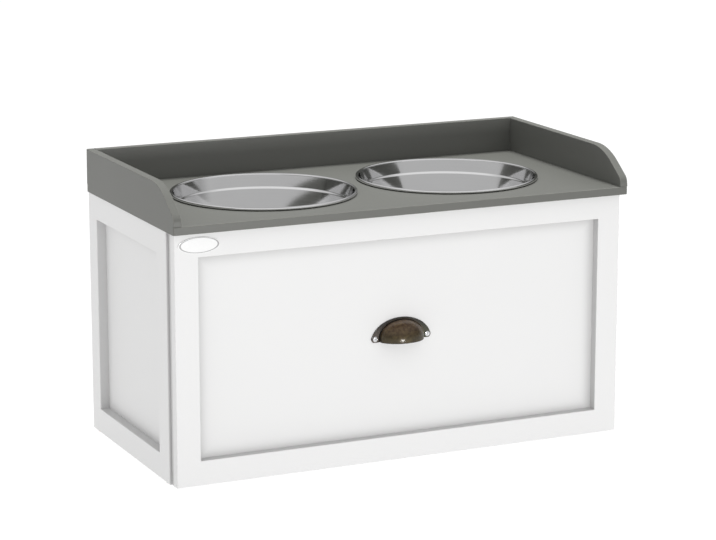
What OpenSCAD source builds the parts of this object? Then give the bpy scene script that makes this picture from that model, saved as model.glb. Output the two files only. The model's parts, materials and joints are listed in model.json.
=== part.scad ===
// Raised feeding station for pets: two lift-out bowls over a cabinet with one deep drawer.
// Millimetres. X runs along the width, the front faces -Y, Z is up, and the feet stand on Z = 0.

/* [Overall] */
// Width of the top board
top_w = 600; // [560:1:760]
// Depth of the top board
top_d = 300; // [296:1:380]
// Height of the cabinet sides
body_h = 305; // [296:1:380]

/* [Top] */
// Thickness of the top board
top_t = 10; // [9:0.5:18]
// Height of the back rail and the cheeks above the board
rail_h = 44; // [38:1:80]
// Thickness of the back rail and the cheeks
rail_t = 10; // [9:0.5:15]
// Length over which a cheek's top edge falls towards the front
cheek_fall = 72; // [68:1:110]
// Radius where the cheek's top edge starts to fall
fall_r = 80; // [40:1:100]
// Slope of the falling edge, in degrees
fall_angle = 36; // [25:1:40]
// Radius of the cheek's front nose
nose_r = 12; // [4:1:18]
// Overhang of the top board past each cabinet side
side_lip = 1.5; // [0.5:0.5:4]
// Overhang of the top board past the drawer front
front_lip = 10.5; // [5:0.5:14]

/* [Bowls] */
// Outer radius of a bowl's wall at the board's top
bowl_r = 110.6; // [100:0.2:114]
// Depth of a bowl from its rim seat to its base
bowl_depth = 58; // [45:1:64]
// Thickness of the bowl's sheet
bowl_t = 0.8; // [0.6:0.1:1.5]
// Radius of the rolled rim's bead
bead_r = 2.1; // [1.6:0.1:3]
// Slope of the bowl's wall from upright, in degrees
wall_angle = 14; // [6:1:22]
// Radius between a bowl's wall and its base
base_r = 24; // [14:1:32]
// Distance between the bowls' centres
bowl_pitch = 250; // [238:1:290]
// Gap between a bowl and the edge of its cut-out
bowl_clear = 0.8; // [0.5:0.1:1.2]
// Gap under a bowl's rim
rim_lift = 0.3; // [0.2:0.1:0.5]

/* [Frames] */
// Thickness of the planted frames
frame_t = 12; // [10:0.5:15]
// Thickness of the panels behind the frames
panel_t = 5; // [4:0.5:8]
// Width of the drawer front's stiles
front_stile_w = 30; // [22:1:45]
// Width of the drawer front's top rail
front_top_rail_w = 28.5; // [22:0.5:45]
// Width of the drawer front's bottom rail
front_bottom_rail_w = 30; // [22:1:45]
// Width of a side's front stile
side_front_stile_w = 33; // [30:1:45]
// Width of a side's back stile
side_back_stile_w = 28; // [28:1:45]
// Width of a side's top and bottom rails
side_rail_w = 31; // [31:1:45]

/* [Cabinet] */
// Thickness of the bottom board
board_t = 12; // [12:0.5:18]
// Height of the bottom board above the sides' lower edge
bottom_up = 14; // [10:1:18]
// Thickness of the two stretchers
stretcher_t = 9; // [9:0.5:9.5]
// Height of the two stretchers
stretcher_h = 40; // [34:1:60]
// Thickness of the back panel
back_t = 5; // [4:0.5:9]
// Depth at which the back panel lies inside the sides' back edges
back_in = 1; // [0.5:0.5:3]
// Height of the foot pads
foot_h = 2; // [1.5:0.5:6]
// Radius of the foot pads
foot_r = 7; // [5:0.5:8]

/* [Drawer] */
// Distance of the drawer front's edge inside the cabinet side's outer face
front_inset = 2.8; // [0:0.2:4]
// Gap between the drawer front and the top board
front_gap = 1.5; // [1:0.5:3]
// Gap between the drawer front and the cabinet, filled by the bumpers
bumper_gap = 1.5; // [1:0.1:3]
// Thickness of the drawer box's boards
box_t = 12; // [12:0.5:15]
// Gap between the closed drawer box and the back panel
back_clear = 16.5; // [10.5:0.5:46.5]
// Height of the drawer box's sides
box_h = 180; // [150:1:190]
// Height of the drawer box above the bottom board
box_up = 16; // [12:1:30]
// Thickness of the drawer's bottom
bottom_t = 4; // [3:0.5:6]
// Height of the drawer's bottom above the box's lower edge
bottom_in = 16; // [15:1:25]
// Length of the drawer box that stays in the cabinet at full travel
held_l = 60; // [50:1:130]

/* [Runners] */
// Space between a cabinet side and the drawer box
runner_gap = 12.5; // [12:0.1:15]
// Thickness of the runners' steel
steel_t = 1.2; // [1:0.1:1.5]
// Radius of the rollers
roller_r = 9; // [7:0.5:9]
// Radius of the rollers' pins
pin_r = 2; // [1.5:0.1:2.5]
// Radial play of a roller on its pin
pin_clear = 0.06; // [0.02:0.01:0.1]
// Gap between a roller and the track it runs on
roll_gap = 0.3; // [0.2:0.1:0.5]
// Distance from a runner's end to its roller's centre
roller_in = 12; // [12:1:16]

/* [Pull] */
// Distance between the pull's screws
pull_pitch = 70; // [64:1:96]
// Height of the pull's screws above the sides' lower edge
pull_z = 151; // [90:1:190]
// Half the width of the pull's cup
cup_w = 29; // [22:1:30]
// Projection of the pull's cup
cup_out = 22; // [18:0.5:22]
// Thickness of the pull's metal
cup_t = 1.6; // [1.2:0.1:2]
// Radius of the pull's ears
ear_r = 5; // [4.5:0.5:7]
// Height of the pull's back plate above its screws
plate_h = 24; // [22:0.5:30]
// Width of the back plate's band above the cup
plate_band = 3; // [1:0.5:3]
// Distance of the cup's mouth below the screws
mouth_drop = 4.5; // [2:0.5:5]

/* [Oval plate] */
// Length of the oval plate
plate_l = 52.5; // [30:0.5:80]
// Width of the oval plate
plate_w = 19.5; // [10:0.5:24]
// Thickness of the oval plate
plate_t = 0.8; // [0.5:0.1:2]
// Distance of the oval plate from the drawer front's side edge
plate_in = 4.7; // [2:0.1:20]
// Distance of the oval plate's centre below the drawer front's top edge
plate_down = 13.8; // [11:0.1:30]

/* [Fasteners] */
// Radius of the wooden dowels
dowel_r = 4; // [3:0.5:4]
// Length of the wooden dowels
dowel_l = 28; // [20:1:32]
// Radius of the stretchers' dowels
thin_dowel_r = 3; // [2:0.5:3]
// Length of the stretchers' dowels
thin_dowel_l = 24; // [18:1:28]
// Radius of the cam discs
cam_r = 7.5; // [6:0.5:7.5]
// Thickness of the cam discs
cam_t = 10; // [8:0.5:10]
// Radius of the cam bolts
bolt_r = 3; // [2.5:0.5:3]
// Radius of the wood screws
screw_r = 1.6; // [1.2:0.1:2]
// Radius of the screw heads
head_r = 3.2; // [2.6:0.1:3.4]
// Height of the screw heads
head_h = 1.6; // [1:0.1:2]
// Play round dowels, bolts and screws
play = 0.1; // [0.05:0.05:0.2]

/* [Hidden] */
$fn = 48;

white = [0.93, 0.93, 0.93];
grey = [0.46, 0.46, 0.45];
steel = [0.78, 0.78, 0.8];
bronze = [0.27, 0.21, 0.15];
nylon = [0.9, 0.9, 0.88];
beech = [0.8, 0.66, 0.45];

// places along Y
front_y = -top_d / 2;
back_y = top_d / 2;
face_y = front_y + front_lip;
recess_y = face_y + frame_t;
front_back_y = recess_y + panel_t;
side_front_y = front_back_y + bumper_gap;
side_d = back_y - side_front_y;
inner_back_y = back_y - back_in - back_t;
// places along X
side_x = top_w / 2 - side_lip;
side_t = frame_t + panel_t;
inner_x = side_x - side_t;
front_x = side_x - front_inset;
box_x = inner_x - runner_gap;
// places along Z
base_z = foot_h;
board_z = base_z + bottom_up;
under_z = base_z + body_h;
seat_z = under_z + top_t;
front_h = body_h - front_gap;
box_z = board_z + board_t + box_up;
// drawer box and its travel
box_l = inner_back_y - back_clear - front_back_y;
travel = box_l - held_l;

// distance by which a cut runs past the face it opens
past = 1;

// fasteners along the joints
dowel_in = 45;
cam_in = 75;
cam_depth = 22;
bolt_bite = 9;
bolt_l = cam_depth + bolt_bite;
dowel_bite = 11;
top_bite = 7;
near_y = [side_front_y + dowel_in, back_y - dowel_in];
cam_y = [side_front_y + cam_in, back_y - cam_in];
side_mid_x = side_x - side_t / 2;
board_mid_z = board_z + board_t / 2;
cheek_screw_in = 25;
cheek_screw_y = [for (d = [17, 95]) front_y + cheek_fall + d, back_y - cheek_screw_in];
rail_screw_x = [-210, -70, 70, 210];
rail_screw_l = 30;
stretcher_dowel_z = [for (f = [0.25, 0.65]) under_z - f * stretcher_h];
front_stretcher_y = side_front_y;
rear_stretcher_y = inner_back_y - stretcher_t;
back_screw_x = [-240, -80, 80, 240];
back_screw_z = [board_mid_z, under_z - 20];
back_screw_l = 14;

// runners, measured across the gap from the cabinet side (u) and up from the drawer box's lower edge
track_h = 12.8;
roller_up = track_h - roll_gap - roller_r;
channel_low = roller_up - roller_r - roll_gap;
web_u = runner_gap - steel_t;
flange_u = web_u - 0.4;
lip_up = track_h + 4;
runner_y = side_front_y + 1;
runner_l = box_l;
front_roller_y = runner_y + roller_in;
rear_roller_y = front_back_y + box_l - roller_in;
lip_w = 4;
lip_gap = 0.8;
side_gap = 0.5;
rivet_r = 3.4;
rivet_t = 0.5;
rear_rivet_u = steel_t + roll_gap;
front_roller_u = [steel_t + side_gap, flange_u - rivet_t - side_gap];
rear_roller_u = [rear_rivet_u + rivet_t + side_gap, web_u - side_gap];
stop_h = 2.5;
stop_w = 2;
stop_reach = sqrt(pow(roller_r, 2) - pow(roller_r + roll_gap - stop_h, 2));
stop_y = rear_roller_y - travel - stop_reach - roll_gap;
runner_screw_l = 10;
cabinet_screw_y = [side_front_y + 24, runner_y + runner_l - 6];
drawer_screw_y = [for (f = [0.16, 0.48, 0.8]) front_back_y + f * box_l];
drawer_screw_up = 6;
cabinet_screw_up = 8;

// drawer box
groove_d = 5;
groove_play = 0.2;
box_screw_up = [35, box_h / 2, box_h - 30];
box_screw_l = 32;
front_screw_x = [-200, 0, 200];
front_screw_up = [50, box_h - 30];
front_screw_l = box_t + panel_t - 1.5;
pull_screw_l = 15;

// top edge of a cheek: level, an arc that bends it down, a straight fall and a round nose
nose_turn = 90 - fall_angle;
fall_end = [cheek_fall - fall_r * sin(fall_angle), rail_h - fall_r * (1 - cos(fall_angle))];
nose_start = fall_end[1] - fall_end[0] * tan(fall_angle);
nose_run = nose_r * tan(nose_turn / 2);
function fall_arc(n) = [for (i = [0:n]) let (a = fall_angle * i / n)
    [cheek_fall - fall_r * sin(a), rail_h - fall_r * (1 - cos(a))]];
function nose_arc(n) = [for (i = [0:n]) let (a = fall_angle + nose_turn * i / n)
    [nose_r - nose_r * sin(a), nose_start - nose_run + nose_r * cos(a)]];
cheek_outline = concat([[0, 0], [top_d, 0], [top_d, rail_h]], fall_arc(16), nose_arc(12));

// bowl in section, the board's top at zero: round the bead, down the inside, back up the outside
base_flat = bowl_r - tan(wall_angle) * (bowl_depth - base_r + base_r * sin(wall_angle))
    - base_r * cos(wall_angle);
function wall_foot(t, n) = [for (i = [0:n]) let (a = -wall_angle - (90 - wall_angle) * i / n)
    [base_flat + (base_r - t) * cos(a), -bowl_depth + base_r + (base_r - t) * sin(a)]];
function reversed(v) = [for (i = [len(v) - 1:-1:0]) v[i]];
rim_z = rim_lift + bead_r;
rim_r = bowl_r + tan(wall_angle) * rim_z - bowl_t / cos(wall_angle);
bead_from = 180 + acos(1 - bowl_t / bead_r);
function bead(n) = [for (i = [0:n]) let (a = bead_from + (540 - bead_from) * i / n)
    [rim_r + bead_r + bead_r * cos(a), rim_z + bead_r * sin(a)]];
bowl_section = concat(bead(30), wall_foot(bowl_t, 14), [[0, -bowl_depth + bowl_t], [0, -bowl_depth]],
    reversed(wall_foot(0, 14)));
hole_r = bowl_r + bowl_clear;

// a board from one corner to the other
module board(low, high) {
    translate(low) cube(high - low);
}
// a flat piece of outline pts in the X-Z plane, t thick, with its back face at y
module upright(pts, y, t) {
    translate([0, y, 0]) rotate([90, 0, 0]) linear_extrude(t) polygon(pts);
}
// a flat piece of outline pts in the Y-Z plane, t thick, starting at x
module sideways(pts, x, t) {
    translate([x, 0, 0]) rotate([90, 0, 90]) linear_extrude(t) polygon(pts);
}
// a bar of radius r along X, Y or Z from point p
module bar_x(p, r, l) {
    translate(p) rotate([0, 90, 0]) cylinder(r = r, h = l);
}
module bar_y(p, r, l) {
    translate(p) rotate([-90, 0, 0]) cylinder(r = r, h = l);
}
module bar_z(p, r, l) {
    translate(p) cylinder(r = r, h = l);
}
// a screw that points along +Z, its head under zero, or sunk above zero; grow makes its hole
module pan_screw(l, grow = 0) {
    translate([0, 0, -head_h]) cylinder(r = head_r + grow, h = head_h);
    translate([0, 0, -0.01]) cylinder(r = screw_r + grow, h = l + 0.01 + grow);
}
module sunk_screw(l, grow = 0, sink = head_h) {
    cylinder(r1 = head_r + grow, r2 = screw_r + grow, h = sink);
    cylinder(r = screw_r + grow, h = l + grow);
}
// the four pieces of a mitred frame in its own plane
function left_piece(w, h, l, b, t) = [[0, 0], [l, b], [l, h - t], [0, h]];
function right_piece(w, h, r, b, t) = [[w, 0], [w, h], [w - r, h - t], [w - r, b]];
function top_piece(w, h, l, r, t) = [[0, h], [l, h - t], [w - r, h - t], [w, h]];
function bottom_piece(w, h, l, r, b) = [[0, 0], [w, 0], [w - r, b], [l, b]];
function moved(pts, a, b) = [for (p = pts) [p[0] + a, p[1] + b]];

// top
module cheek_screws(grow = 0) {
    for (s = [-1, 1], y = cheek_screw_y)
        translate([s * (top_w / 2 - rail_t / 2), y, under_z]) sunk_screw(rail_screw_l, grow);
    for (x = rail_screw_x)
        translate([x, back_y - rail_t / 2, under_z]) sunk_screw(rail_screw_l, grow);
}
module top_board() {
    color(grey) difference() {
        board([-top_w / 2, front_y, under_z], [top_w / 2, back_y, seat_z]);
        for (s = [-1, 1])
            bar_z([s * bowl_pitch / 2, 0, under_z - past], hole_r, top_t + 2 * past, $fn = 96);
        for (s = [-1, 1], y = near_y)
            bar_z([s * side_mid_x, y, under_z - past], dowel_r + play, top_bite + past);
        for (s = [-1, 1], y = cam_y)
            bar_z([s * side_mid_x, y, under_z - past], bolt_r + play, top_bite + past);
        cheek_screws(play);
    }
}
module back_rail() {
    color(grey) difference() {
        board([-top_w / 2 + rail_t, back_y - rail_t, seat_z],
            [top_w / 2 - rail_t, back_y, seat_z + rail_h]);
        cheek_screws(play);
    }
}
module cheek() {
    color(grey) difference() {
        sideways(moved(cheek_outline, front_y, seat_z), -top_w / 2, rail_t);
        cheek_screws(play);
    }
}

// cabinet sides: the left one is drawn, the right one is its mirror image
side_pieces = [
    left_piece(side_d, body_h, side_front_stile_w, side_rail_w, side_rail_w),
    right_piece(side_d, body_h, side_back_stile_w, side_rail_w, side_rail_w),
    top_piece(side_d, body_h, side_front_stile_w, side_back_stile_w, side_rail_w),
    bottom_piece(side_d, body_h, side_front_stile_w, side_back_stile_w, side_rail_w)
];
module side_bores() {
    for (y = near_y) {
        bar_z([-side_mid_x, y, under_z - dowel_l + top_bite - play], dowel_r + play, dowel_l);
        bar_x([-inner_x - dowel_bite, y, board_mid_z], dowel_r + play, dowel_bite + past);
    }
    for (y = cam_y) {
        bar_z([-side_mid_x, y, under_z - cam_depth], bolt_r + play, cam_depth + past);
        bar_x([-inner_x - cam_t, y, under_z - cam_depth], cam_r + play, cam_t + past);
        bar_x([-inner_x - bolt_bite, y, board_mid_z], bolt_r + play, bolt_bite + past);
    }
    for (y = [front_stretcher_y, rear_stretcher_y], z = stretcher_dowel_z)
        bar_x([-inner_x - dowel_bite, y + stretcher_t / 2, z], thin_dowel_r + play,
            dowel_bite + past);
    cabinet_screws_left(play);
}
module side_piece(i) {
    color(white) difference() {
        sideways(moved(side_pieces[i], side_front_y, base_z), -side_x, frame_t);
        side_bores();
    }
}
module side_panel() {
    color(white) difference() {
        board([-inner_x - panel_t, side_front_y, base_z], [-inner_x, back_y, under_z]);
        side_bores();
    }
}

// cabinet inside
module bottom_board() {
    color(white) difference() {
        board([-inner_x, side_front_y, board_z], [inner_x, inner_back_y, board_z + board_t]);
        for (s = [0, 1]) mirror([s, 0, 0]) {
            for (y = near_y) bar_x([-inner_x - past, y, board_mid_z], dowel_r + play,
                dowel_l - dowel_bite + past + play);
            for (y = cam_y) {
                bar_x([-inner_x - past, y, board_mid_z], bolt_r + play, cam_depth + past);
                bar_z([-inner_x + cam_depth, y, board_z - past], cam_r + play, cam_t + past);
            }
        }
        back_screw_set(play);
    }
}
// room for the bowls under the top board, for what stands beside them
module bowl_rooms() {
    for (s = [-1, 1]) translate([s * bowl_pitch / 2, 0, seat_z - bowl_depth])
        cylinder(r1 = hole_r - tan(wall_angle) * bowl_depth, r2 = hole_r, h = bowl_depth, $fn = 96);
}
module stretcher(y) {
    color(white) difference() {
        board([-inner_x, y, under_z - stretcher_h], [inner_x, y + stretcher_t, under_z]);
        for (s = [0, 1], z = stretcher_dowel_z) mirror([s, 0, 0])
            bar_x([-inner_x - past, y + stretcher_t / 2, z], thin_dowel_r + play,
                thin_dowel_l - dowel_bite + past + play);
        back_screw_set(play);
        bowl_rooms();
    }
}
module back_screw_set(grow = 0) {
    for (x = back_screw_x, z = back_screw_z)
        translate([x, back_y - back_in, z]) rotate([90, 0, 0]) sunk_screw(back_screw_l, grow);
}
module back_panel() {
    color(white) difference() {
        board([-inner_x, inner_back_y, board_z], [inner_x, back_y - back_in, under_z]);
        back_screw_set(play);
    }
}
module foot_pads() {
    color(nylon) for (s = [-1, 1], y = [side_front_y + 2 * foot_r, back_y - 2 * foot_r])
        bar_z([s * side_mid_x, y, 0], foot_r, foot_h);
}
module bumpers() {
    bumper_r = 4;
    color(nylon) for (s = [-1, 1], z = [base_z + side_rail_w, under_z - side_rail_w])
        bar_y([s * side_mid_x, side_front_y - bumper_gap + play, z], bumper_r, bumper_gap - play);
}
module wood_dowels() {
    color(beech) for (s = [0, 1], y = near_y) mirror([s, 0, 0]) {
        bar_z([-side_mid_x, y, under_z - dowel_l + top_bite], dowel_r, dowel_l - play);
        bar_x([-inner_x - dowel_bite, y, board_mid_z], dowel_r, dowel_l);
    }
}
module stretcher_dowels() {
    color(beech) for (s = [0, 1], y = [front_stretcher_y, rear_stretcher_y], z = stretcher_dowel_z)
        mirror([s, 0, 0])
            bar_x([-inner_x - dowel_bite, y + stretcher_t / 2, z], thin_dowel_r, thin_dowel_l);
}
module cam_bolts() {
    color(steel) for (s = [0, 1], y = cam_y) mirror([s, 0, 0]) {
        bar_z([-side_mid_x, y, under_z - cam_depth], bolt_r, cam_depth + top_bite - play);
        bar_x([-inner_x - bolt_bite, y, board_mid_z], bolt_r, bolt_l);
    }
}
module cam_discs() {
    color(steel) for (s = [0, 1], y = cam_y) mirror([s, 0, 0]) {
        difference() {
            bar_x([-inner_x - cam_t, y, under_z - cam_depth], cam_r, cam_t);
            bar_z([-side_mid_x, y, under_z - cam_depth - play], bolt_r + play, cam_depth);
        }
        difference() {
            bar_z([-inner_x + cam_depth, y, board_z], cam_r, cam_t);
            bar_x([-inner_x, y, board_mid_z], bolt_r + play, cam_depth + play);
        }
    }
}

// runners
module cabinet_screws_left(grow = 0) {
    for (y = cabinet_screw_y) translate([-inner_x + steel_t, y, box_z + cabinet_screw_up])
        rotate([0, -90, 0]) sunk_screw(runner_screw_l, grow, steel_t);
}
module cabinet_runner() {
    u = -inner_x;
    low = box_z + channel_low;
    color(white) difference() {
        union() {
            board([u, runner_y, low - steel_t], [u + steel_t, runner_y + runner_l, box_z + lip_up]);
            board([u, runner_y, low - steel_t], [u + flange_u, runner_y + runner_l, low]);
            board([u, runner_y, box_z + lip_up - steel_t],
                [u + lip_w, runner_y + runner_l, box_z + lip_up]);
            board([u, stop_y - stop_w, low - steel_t], [u + flange_u, stop_y, low + stop_h]);
            bar_x([u, front_roller_y, box_z + roller_up], pin_r, flange_u);
            bar_x([u + flange_u - rivet_t, front_roller_y, box_z + roller_up], rivet_r, rivet_t);
        }
        cabinet_screws_left(play);
    }
}
module roller(u, y) {
    color(nylon) difference() {
        bar_x([-inner_x + u[0], y, box_z + roller_up], roller_r, u[1] - u[0]);
        bar_x([-inner_x + u[0] - past, y, box_z + roller_up], pin_r + pin_clear, u[1] - u[0] + 2 * past);
    }
}
module drawer_screws_left(grow = 0) {
    for (y = drawer_screw_y) translate([-box_x - steel_t, y, box_z + drawer_screw_up])
        rotate([0, 90, 0]) sunk_screw(runner_screw_l, grow, steel_t);
}
module drawer_runner() {
    u = -inner_x;
    y0 = front_back_y;
    y1 = front_back_y + box_l;
    top = box_z + track_h;
    color(white) difference() {
        union() {
            board([u + web_u, y0, box_z - steel_t], [u + runner_gap, y1, top + steel_t]);
            board([u + web_u, y0, box_z - steel_t], [-box_x + box_t, y1, box_z]);
            board([u + lip_w + lip_gap, y0, top], [u + runner_gap, y1, top + steel_t]);
            bar_x([u + rear_rivet_u, rear_roller_y, box_z + roller_up], pin_r, web_u - rear_rivet_u);
            bar_x([u + rear_rivet_u, rear_roller_y, box_z + roller_up], rivet_r, rivet_t);
        }
        drawer_screws_left(play);
    }
}

// drawer front
front_pieces = [
    left_piece(2 * front_x, front_h, front_stile_w, front_bottom_rail_w, front_top_rail_w),
    right_piece(2 * front_x, front_h, front_stile_w, front_bottom_rail_w, front_top_rail_w),
    top_piece(2 * front_x, front_h, front_stile_w, front_stile_w, front_top_rail_w),
    bottom_piece(2 * front_x, front_h, front_stile_w, front_stile_w, front_bottom_rail_w)
];
module front_piece(i) {
    color(white) upright(moved(front_pieces[i], -front_x, base_z), recess_y, frame_t);
}
module drawer_front_panel() {
    color(white) difference() {
        board([-front_x, recess_y, base_z], [front_x, front_back_y, base_z + front_h]);
        pull_screw_set(play);
        front_screw_set(play);
    }
}
module front_screw_set(grow = 0) {
    for (x = front_screw_x, up = front_screw_up)
        translate([x, front_back_y + box_t, box_z + up]) rotate([90, 0, 0])
            pan_screw(front_screw_l, grow);
}

// drawer box
module box_screw_set(grow = 0) {
    for (s = [0, 1], up = box_screw_up,
            y = [front_back_y + box_t / 2, front_back_y + box_l - box_t / 2])
        mirror([s, 0, 0]) translate([-box_x, y, box_z + up]) rotate([0, 90, 0])
            sunk_screw(box_screw_l, grow);
}
module bottom_groove() {
    board([-box_x + box_t - groove_d, front_back_y + box_t - groove_d, box_z + bottom_in],
        [box_x - box_t + groove_d, front_back_y + box_l - box_t + groove_d,
            box_z + bottom_in + bottom_t + groove_play]);
}
module drawer_inner_front() {
    color(white) difference() {
        board([-box_x + box_t, front_back_y, box_z],
            [box_x - box_t, front_back_y + box_t, box_z + box_h]);
        bottom_groove();
        box_screw_set(play);
        front_screw_set(play);
        pull_screw_set(play);
    }
}
module drawer_back() {
    color(white) difference() {
        board([-box_x + box_t, front_back_y + box_l - box_t, box_z],
            [box_x - box_t, front_back_y + box_l, box_z + box_h]);
        bottom_groove();
        box_screw_set(play);
    }
}
module drawer_side() {
    color(white) difference() {
        board([-box_x, front_back_y, box_z], [-box_x + box_t, front_back_y + box_l, box_z + box_h]);
        bottom_groove();
        box_screw_set(play);
        drawer_screws_left(play);
    }
}
module drawer_bottom() {
    edge = groove_d - groove_play;
    color(white) board([-box_x + box_t - edge, front_back_y + box_t - edge, box_z + bottom_in],
        [box_x - box_t + edge, front_back_y + box_l - box_t + edge, box_z + bottom_in + bottom_t]);
}

// cup pull: a quarter of an egg shape turned about X, on a flat back plate with two ears
function egg(a, b, n) = [for (i = [0:n]) let (t = 180 * i / n) [b * sin(t), -a * cos(t)]];
function arch(a, b, n) = [for (i = [0:n]) let (t = 180 * i / n) [a * cos(t), b * sin(t)]];
module pull_screw_set(grow = 0) {
    for (s = [-1, 1]) translate([s * pull_pitch / 2, recess_y - cup_t, base_z + pull_z])
        rotate([-90, 0, 0]) pan_screw(pull_screw_l, grow);
}
module cup_pull() {
    mouth_z = base_z + pull_z - mouth_drop;
    plate_y = recess_y - cup_t;
    rise = cup_out - cup_t;
    skirt = plate_h + mouth_drop - plate_band - rise;
    color(bronze) difference() {
        union() {
            translate([0, plate_y, mouth_z + skirt]) rotate([0, 90, 0]) rotate([0, 0, 180])
                rotate_extrude(angle = 90, $fn = 96) difference() {
                    polygon(egg(cup_w, rise, 40));
                    polygon(egg(cup_w - cup_t, rise - cup_t, 40));
                }
            translate([0, plate_y, mouth_z]) mirror([0, 1, 0]) linear_extrude(skirt) difference() {
                polygon(arch(cup_w, rise, 40));
                polygon(arch(cup_w - cup_t, rise - cup_t, 40));
            }
            difference() {
                union() {
                    upright(moved(arch(pull_pitch / 2 + ear_r, plate_h + mouth_drop, 48), 0, mouth_z),
                        recess_y, cup_t);
                    for (s = [-1, 1]) bar_y([s * pull_pitch / 2, plate_y, base_z + pull_z], ear_r, cup_t);
                }
                board([-pull_pitch, plate_y - past, mouth_z - ear_r],
                    [pull_pitch, recess_y + past, mouth_z]);
                upright(moved(arch(cup_w - cup_t, rise - cup_t, 40), 0, mouth_z + skirt),
                    recess_y + past, cup_t + 2 * past);
                board([cup_t - cup_w, plate_y - past, mouth_z - past],
                    [cup_w - cup_t, recess_y + past, mouth_z + skirt]);
            }
        }
        pull_screw_set(play);
    }
}
module oval_plate() {
    x = -front_x + plate_in + plate_l / 2;
    z = base_z + front_h - plate_down;
    oval = [for (i = [0:71]) [x + plate_l / 2 * cos(5 * i), z + plate_w / 2 * sin(5 * i)]];
    color(white) upright(oval, face_y, plate_t);
}

// bowl at x
module bowl(x) {
    color(steel) translate([x, 0, seat_z]) rotate_extrude($fn = 96) polygon(bowl_section);
}

top_board();
back_rail();
cheek();  // left_cheek
mirror([1, 0, 0]) cheek();  // right_cheek
side_panel();  // left_side_panel
side_piece(0);  // left_side_front_stile
side_piece(1);  // left_side_back_stile
side_piece(2);  // left_side_top_rail
side_piece(3);  // left_side_bottom_rail
mirror([1, 0, 0]) side_panel();  // right_side_panel
mirror([1, 0, 0]) side_piece(0);  // right_side_front_stile
mirror([1, 0, 0]) side_piece(1);  // right_side_back_stile
mirror([1, 0, 0]) side_piece(2);  // right_side_top_rail
mirror([1, 0, 0]) side_piece(3);  // right_side_bottom_rail
bottom_board();
stretcher(front_stretcher_y);  // front_stretcher
stretcher(rear_stretcher_y);  // rear_stretcher
back_panel();
foot_pads();
bumpers();
wood_dowels();
stretcher_dowels();
cam_bolts();
cam_discs();
color(steel) cheek_screws();  // rail_screws
color(steel) back_screw_set();  // back_screws
cabinet_runner();  // left_cabinet_runner
mirror([1, 0, 0]) cabinet_runner();  // right_cabinet_runner
color(steel) for (s = [0, 1]) mirror([s, 0, 0]) cabinet_screws_left();  // cabinet_runner_screws
roller(front_roller_u, front_roller_y);  // left_front_roller
mirror([1, 0, 0]) roller(front_roller_u, front_roller_y);  // right_front_roller
roller(rear_roller_u, rear_roller_y);  // left_rear_roller
mirror([1, 0, 0]) roller(rear_roller_u, rear_roller_y);  // right_rear_roller
drawer_front_panel();
front_piece(0);  // drawer_front_left_stile
front_piece(1);  // drawer_front_right_stile
front_piece(2);  // drawer_front_top_rail
front_piece(3);  // drawer_front_bottom_rail
drawer_inner_front();
drawer_side();  // drawer_left_side
mirror([1, 0, 0]) drawer_side();  // drawer_right_side
drawer_back();
drawer_bottom();
drawer_runner();  // left_drawer_runner
mirror([1, 0, 0]) drawer_runner();  // right_drawer_runner
color(steel) for (s = [0, 1]) mirror([s, 0, 0]) drawer_screws_left();  // drawer_runner_screws
color(steel) box_screw_set();  // drawer_box_screws
color(steel) front_screw_set();  // drawer_front_screws
cup_pull();
color(steel) pull_screw_set();  // pull_screws
oval_plate();
bowl(-bowl_pitch / 2);  // left_bowl
bowl(bowl_pitch / 2);  // right_bowl
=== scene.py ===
import json
from math import pi, radians, tan

import bmesh
import bpy
import numpy as np
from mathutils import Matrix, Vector
from mathutils.geometry import tessellate_polygon


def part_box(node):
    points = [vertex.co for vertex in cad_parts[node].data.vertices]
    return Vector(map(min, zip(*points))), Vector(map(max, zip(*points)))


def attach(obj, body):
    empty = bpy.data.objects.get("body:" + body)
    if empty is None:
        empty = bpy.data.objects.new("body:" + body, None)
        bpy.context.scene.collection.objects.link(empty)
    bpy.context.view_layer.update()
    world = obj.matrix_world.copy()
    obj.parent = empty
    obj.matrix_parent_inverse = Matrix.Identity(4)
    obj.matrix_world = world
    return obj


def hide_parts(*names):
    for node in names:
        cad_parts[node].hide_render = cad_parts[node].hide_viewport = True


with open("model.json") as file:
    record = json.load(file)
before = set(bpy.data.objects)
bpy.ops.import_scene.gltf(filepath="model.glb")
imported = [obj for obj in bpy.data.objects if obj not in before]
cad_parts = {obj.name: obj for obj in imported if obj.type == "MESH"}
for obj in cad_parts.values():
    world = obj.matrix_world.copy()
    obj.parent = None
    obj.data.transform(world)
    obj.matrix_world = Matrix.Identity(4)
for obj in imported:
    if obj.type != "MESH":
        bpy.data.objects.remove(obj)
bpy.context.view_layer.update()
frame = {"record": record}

# A raised feeding station: grey tray top, white framed cabinet, one deep drawer, two steel bowls.
# Lengths are millimetres until a piece is built.
toMetres = 0.001
record = frame["record"]
bodyOf = {node: body for body, nodes in record["behaviour"]["bodies"].items() for node in nodes}


def boxOf(node):
    low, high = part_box(node)
    return np.round(np.array(low) / toMetres, 4), np.round(np.array(high) / toMetres, 4)


def middleOf(node):
    # centre of a node's box
    low, high = boxOf(node)
    return (low + high) / 2


def unit(vectors):
    return vectors / np.linalg.norm(vectors, axis=-1, keepdims=True)


# Shapes


def gridFaces(rows, columns):
    # quads between neighbouring rows and columns, the last column joined to the first
    row = np.arange(rows - 1)[:, None] * columns
    column = np.arange(columns)[None, :]
    after = (column + 1) % columns
    quads = [row + column, row + after, row + columns + after, row + columns + column]
    return np.stack(quads, axis=-1).reshape(-1, 4)


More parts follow.
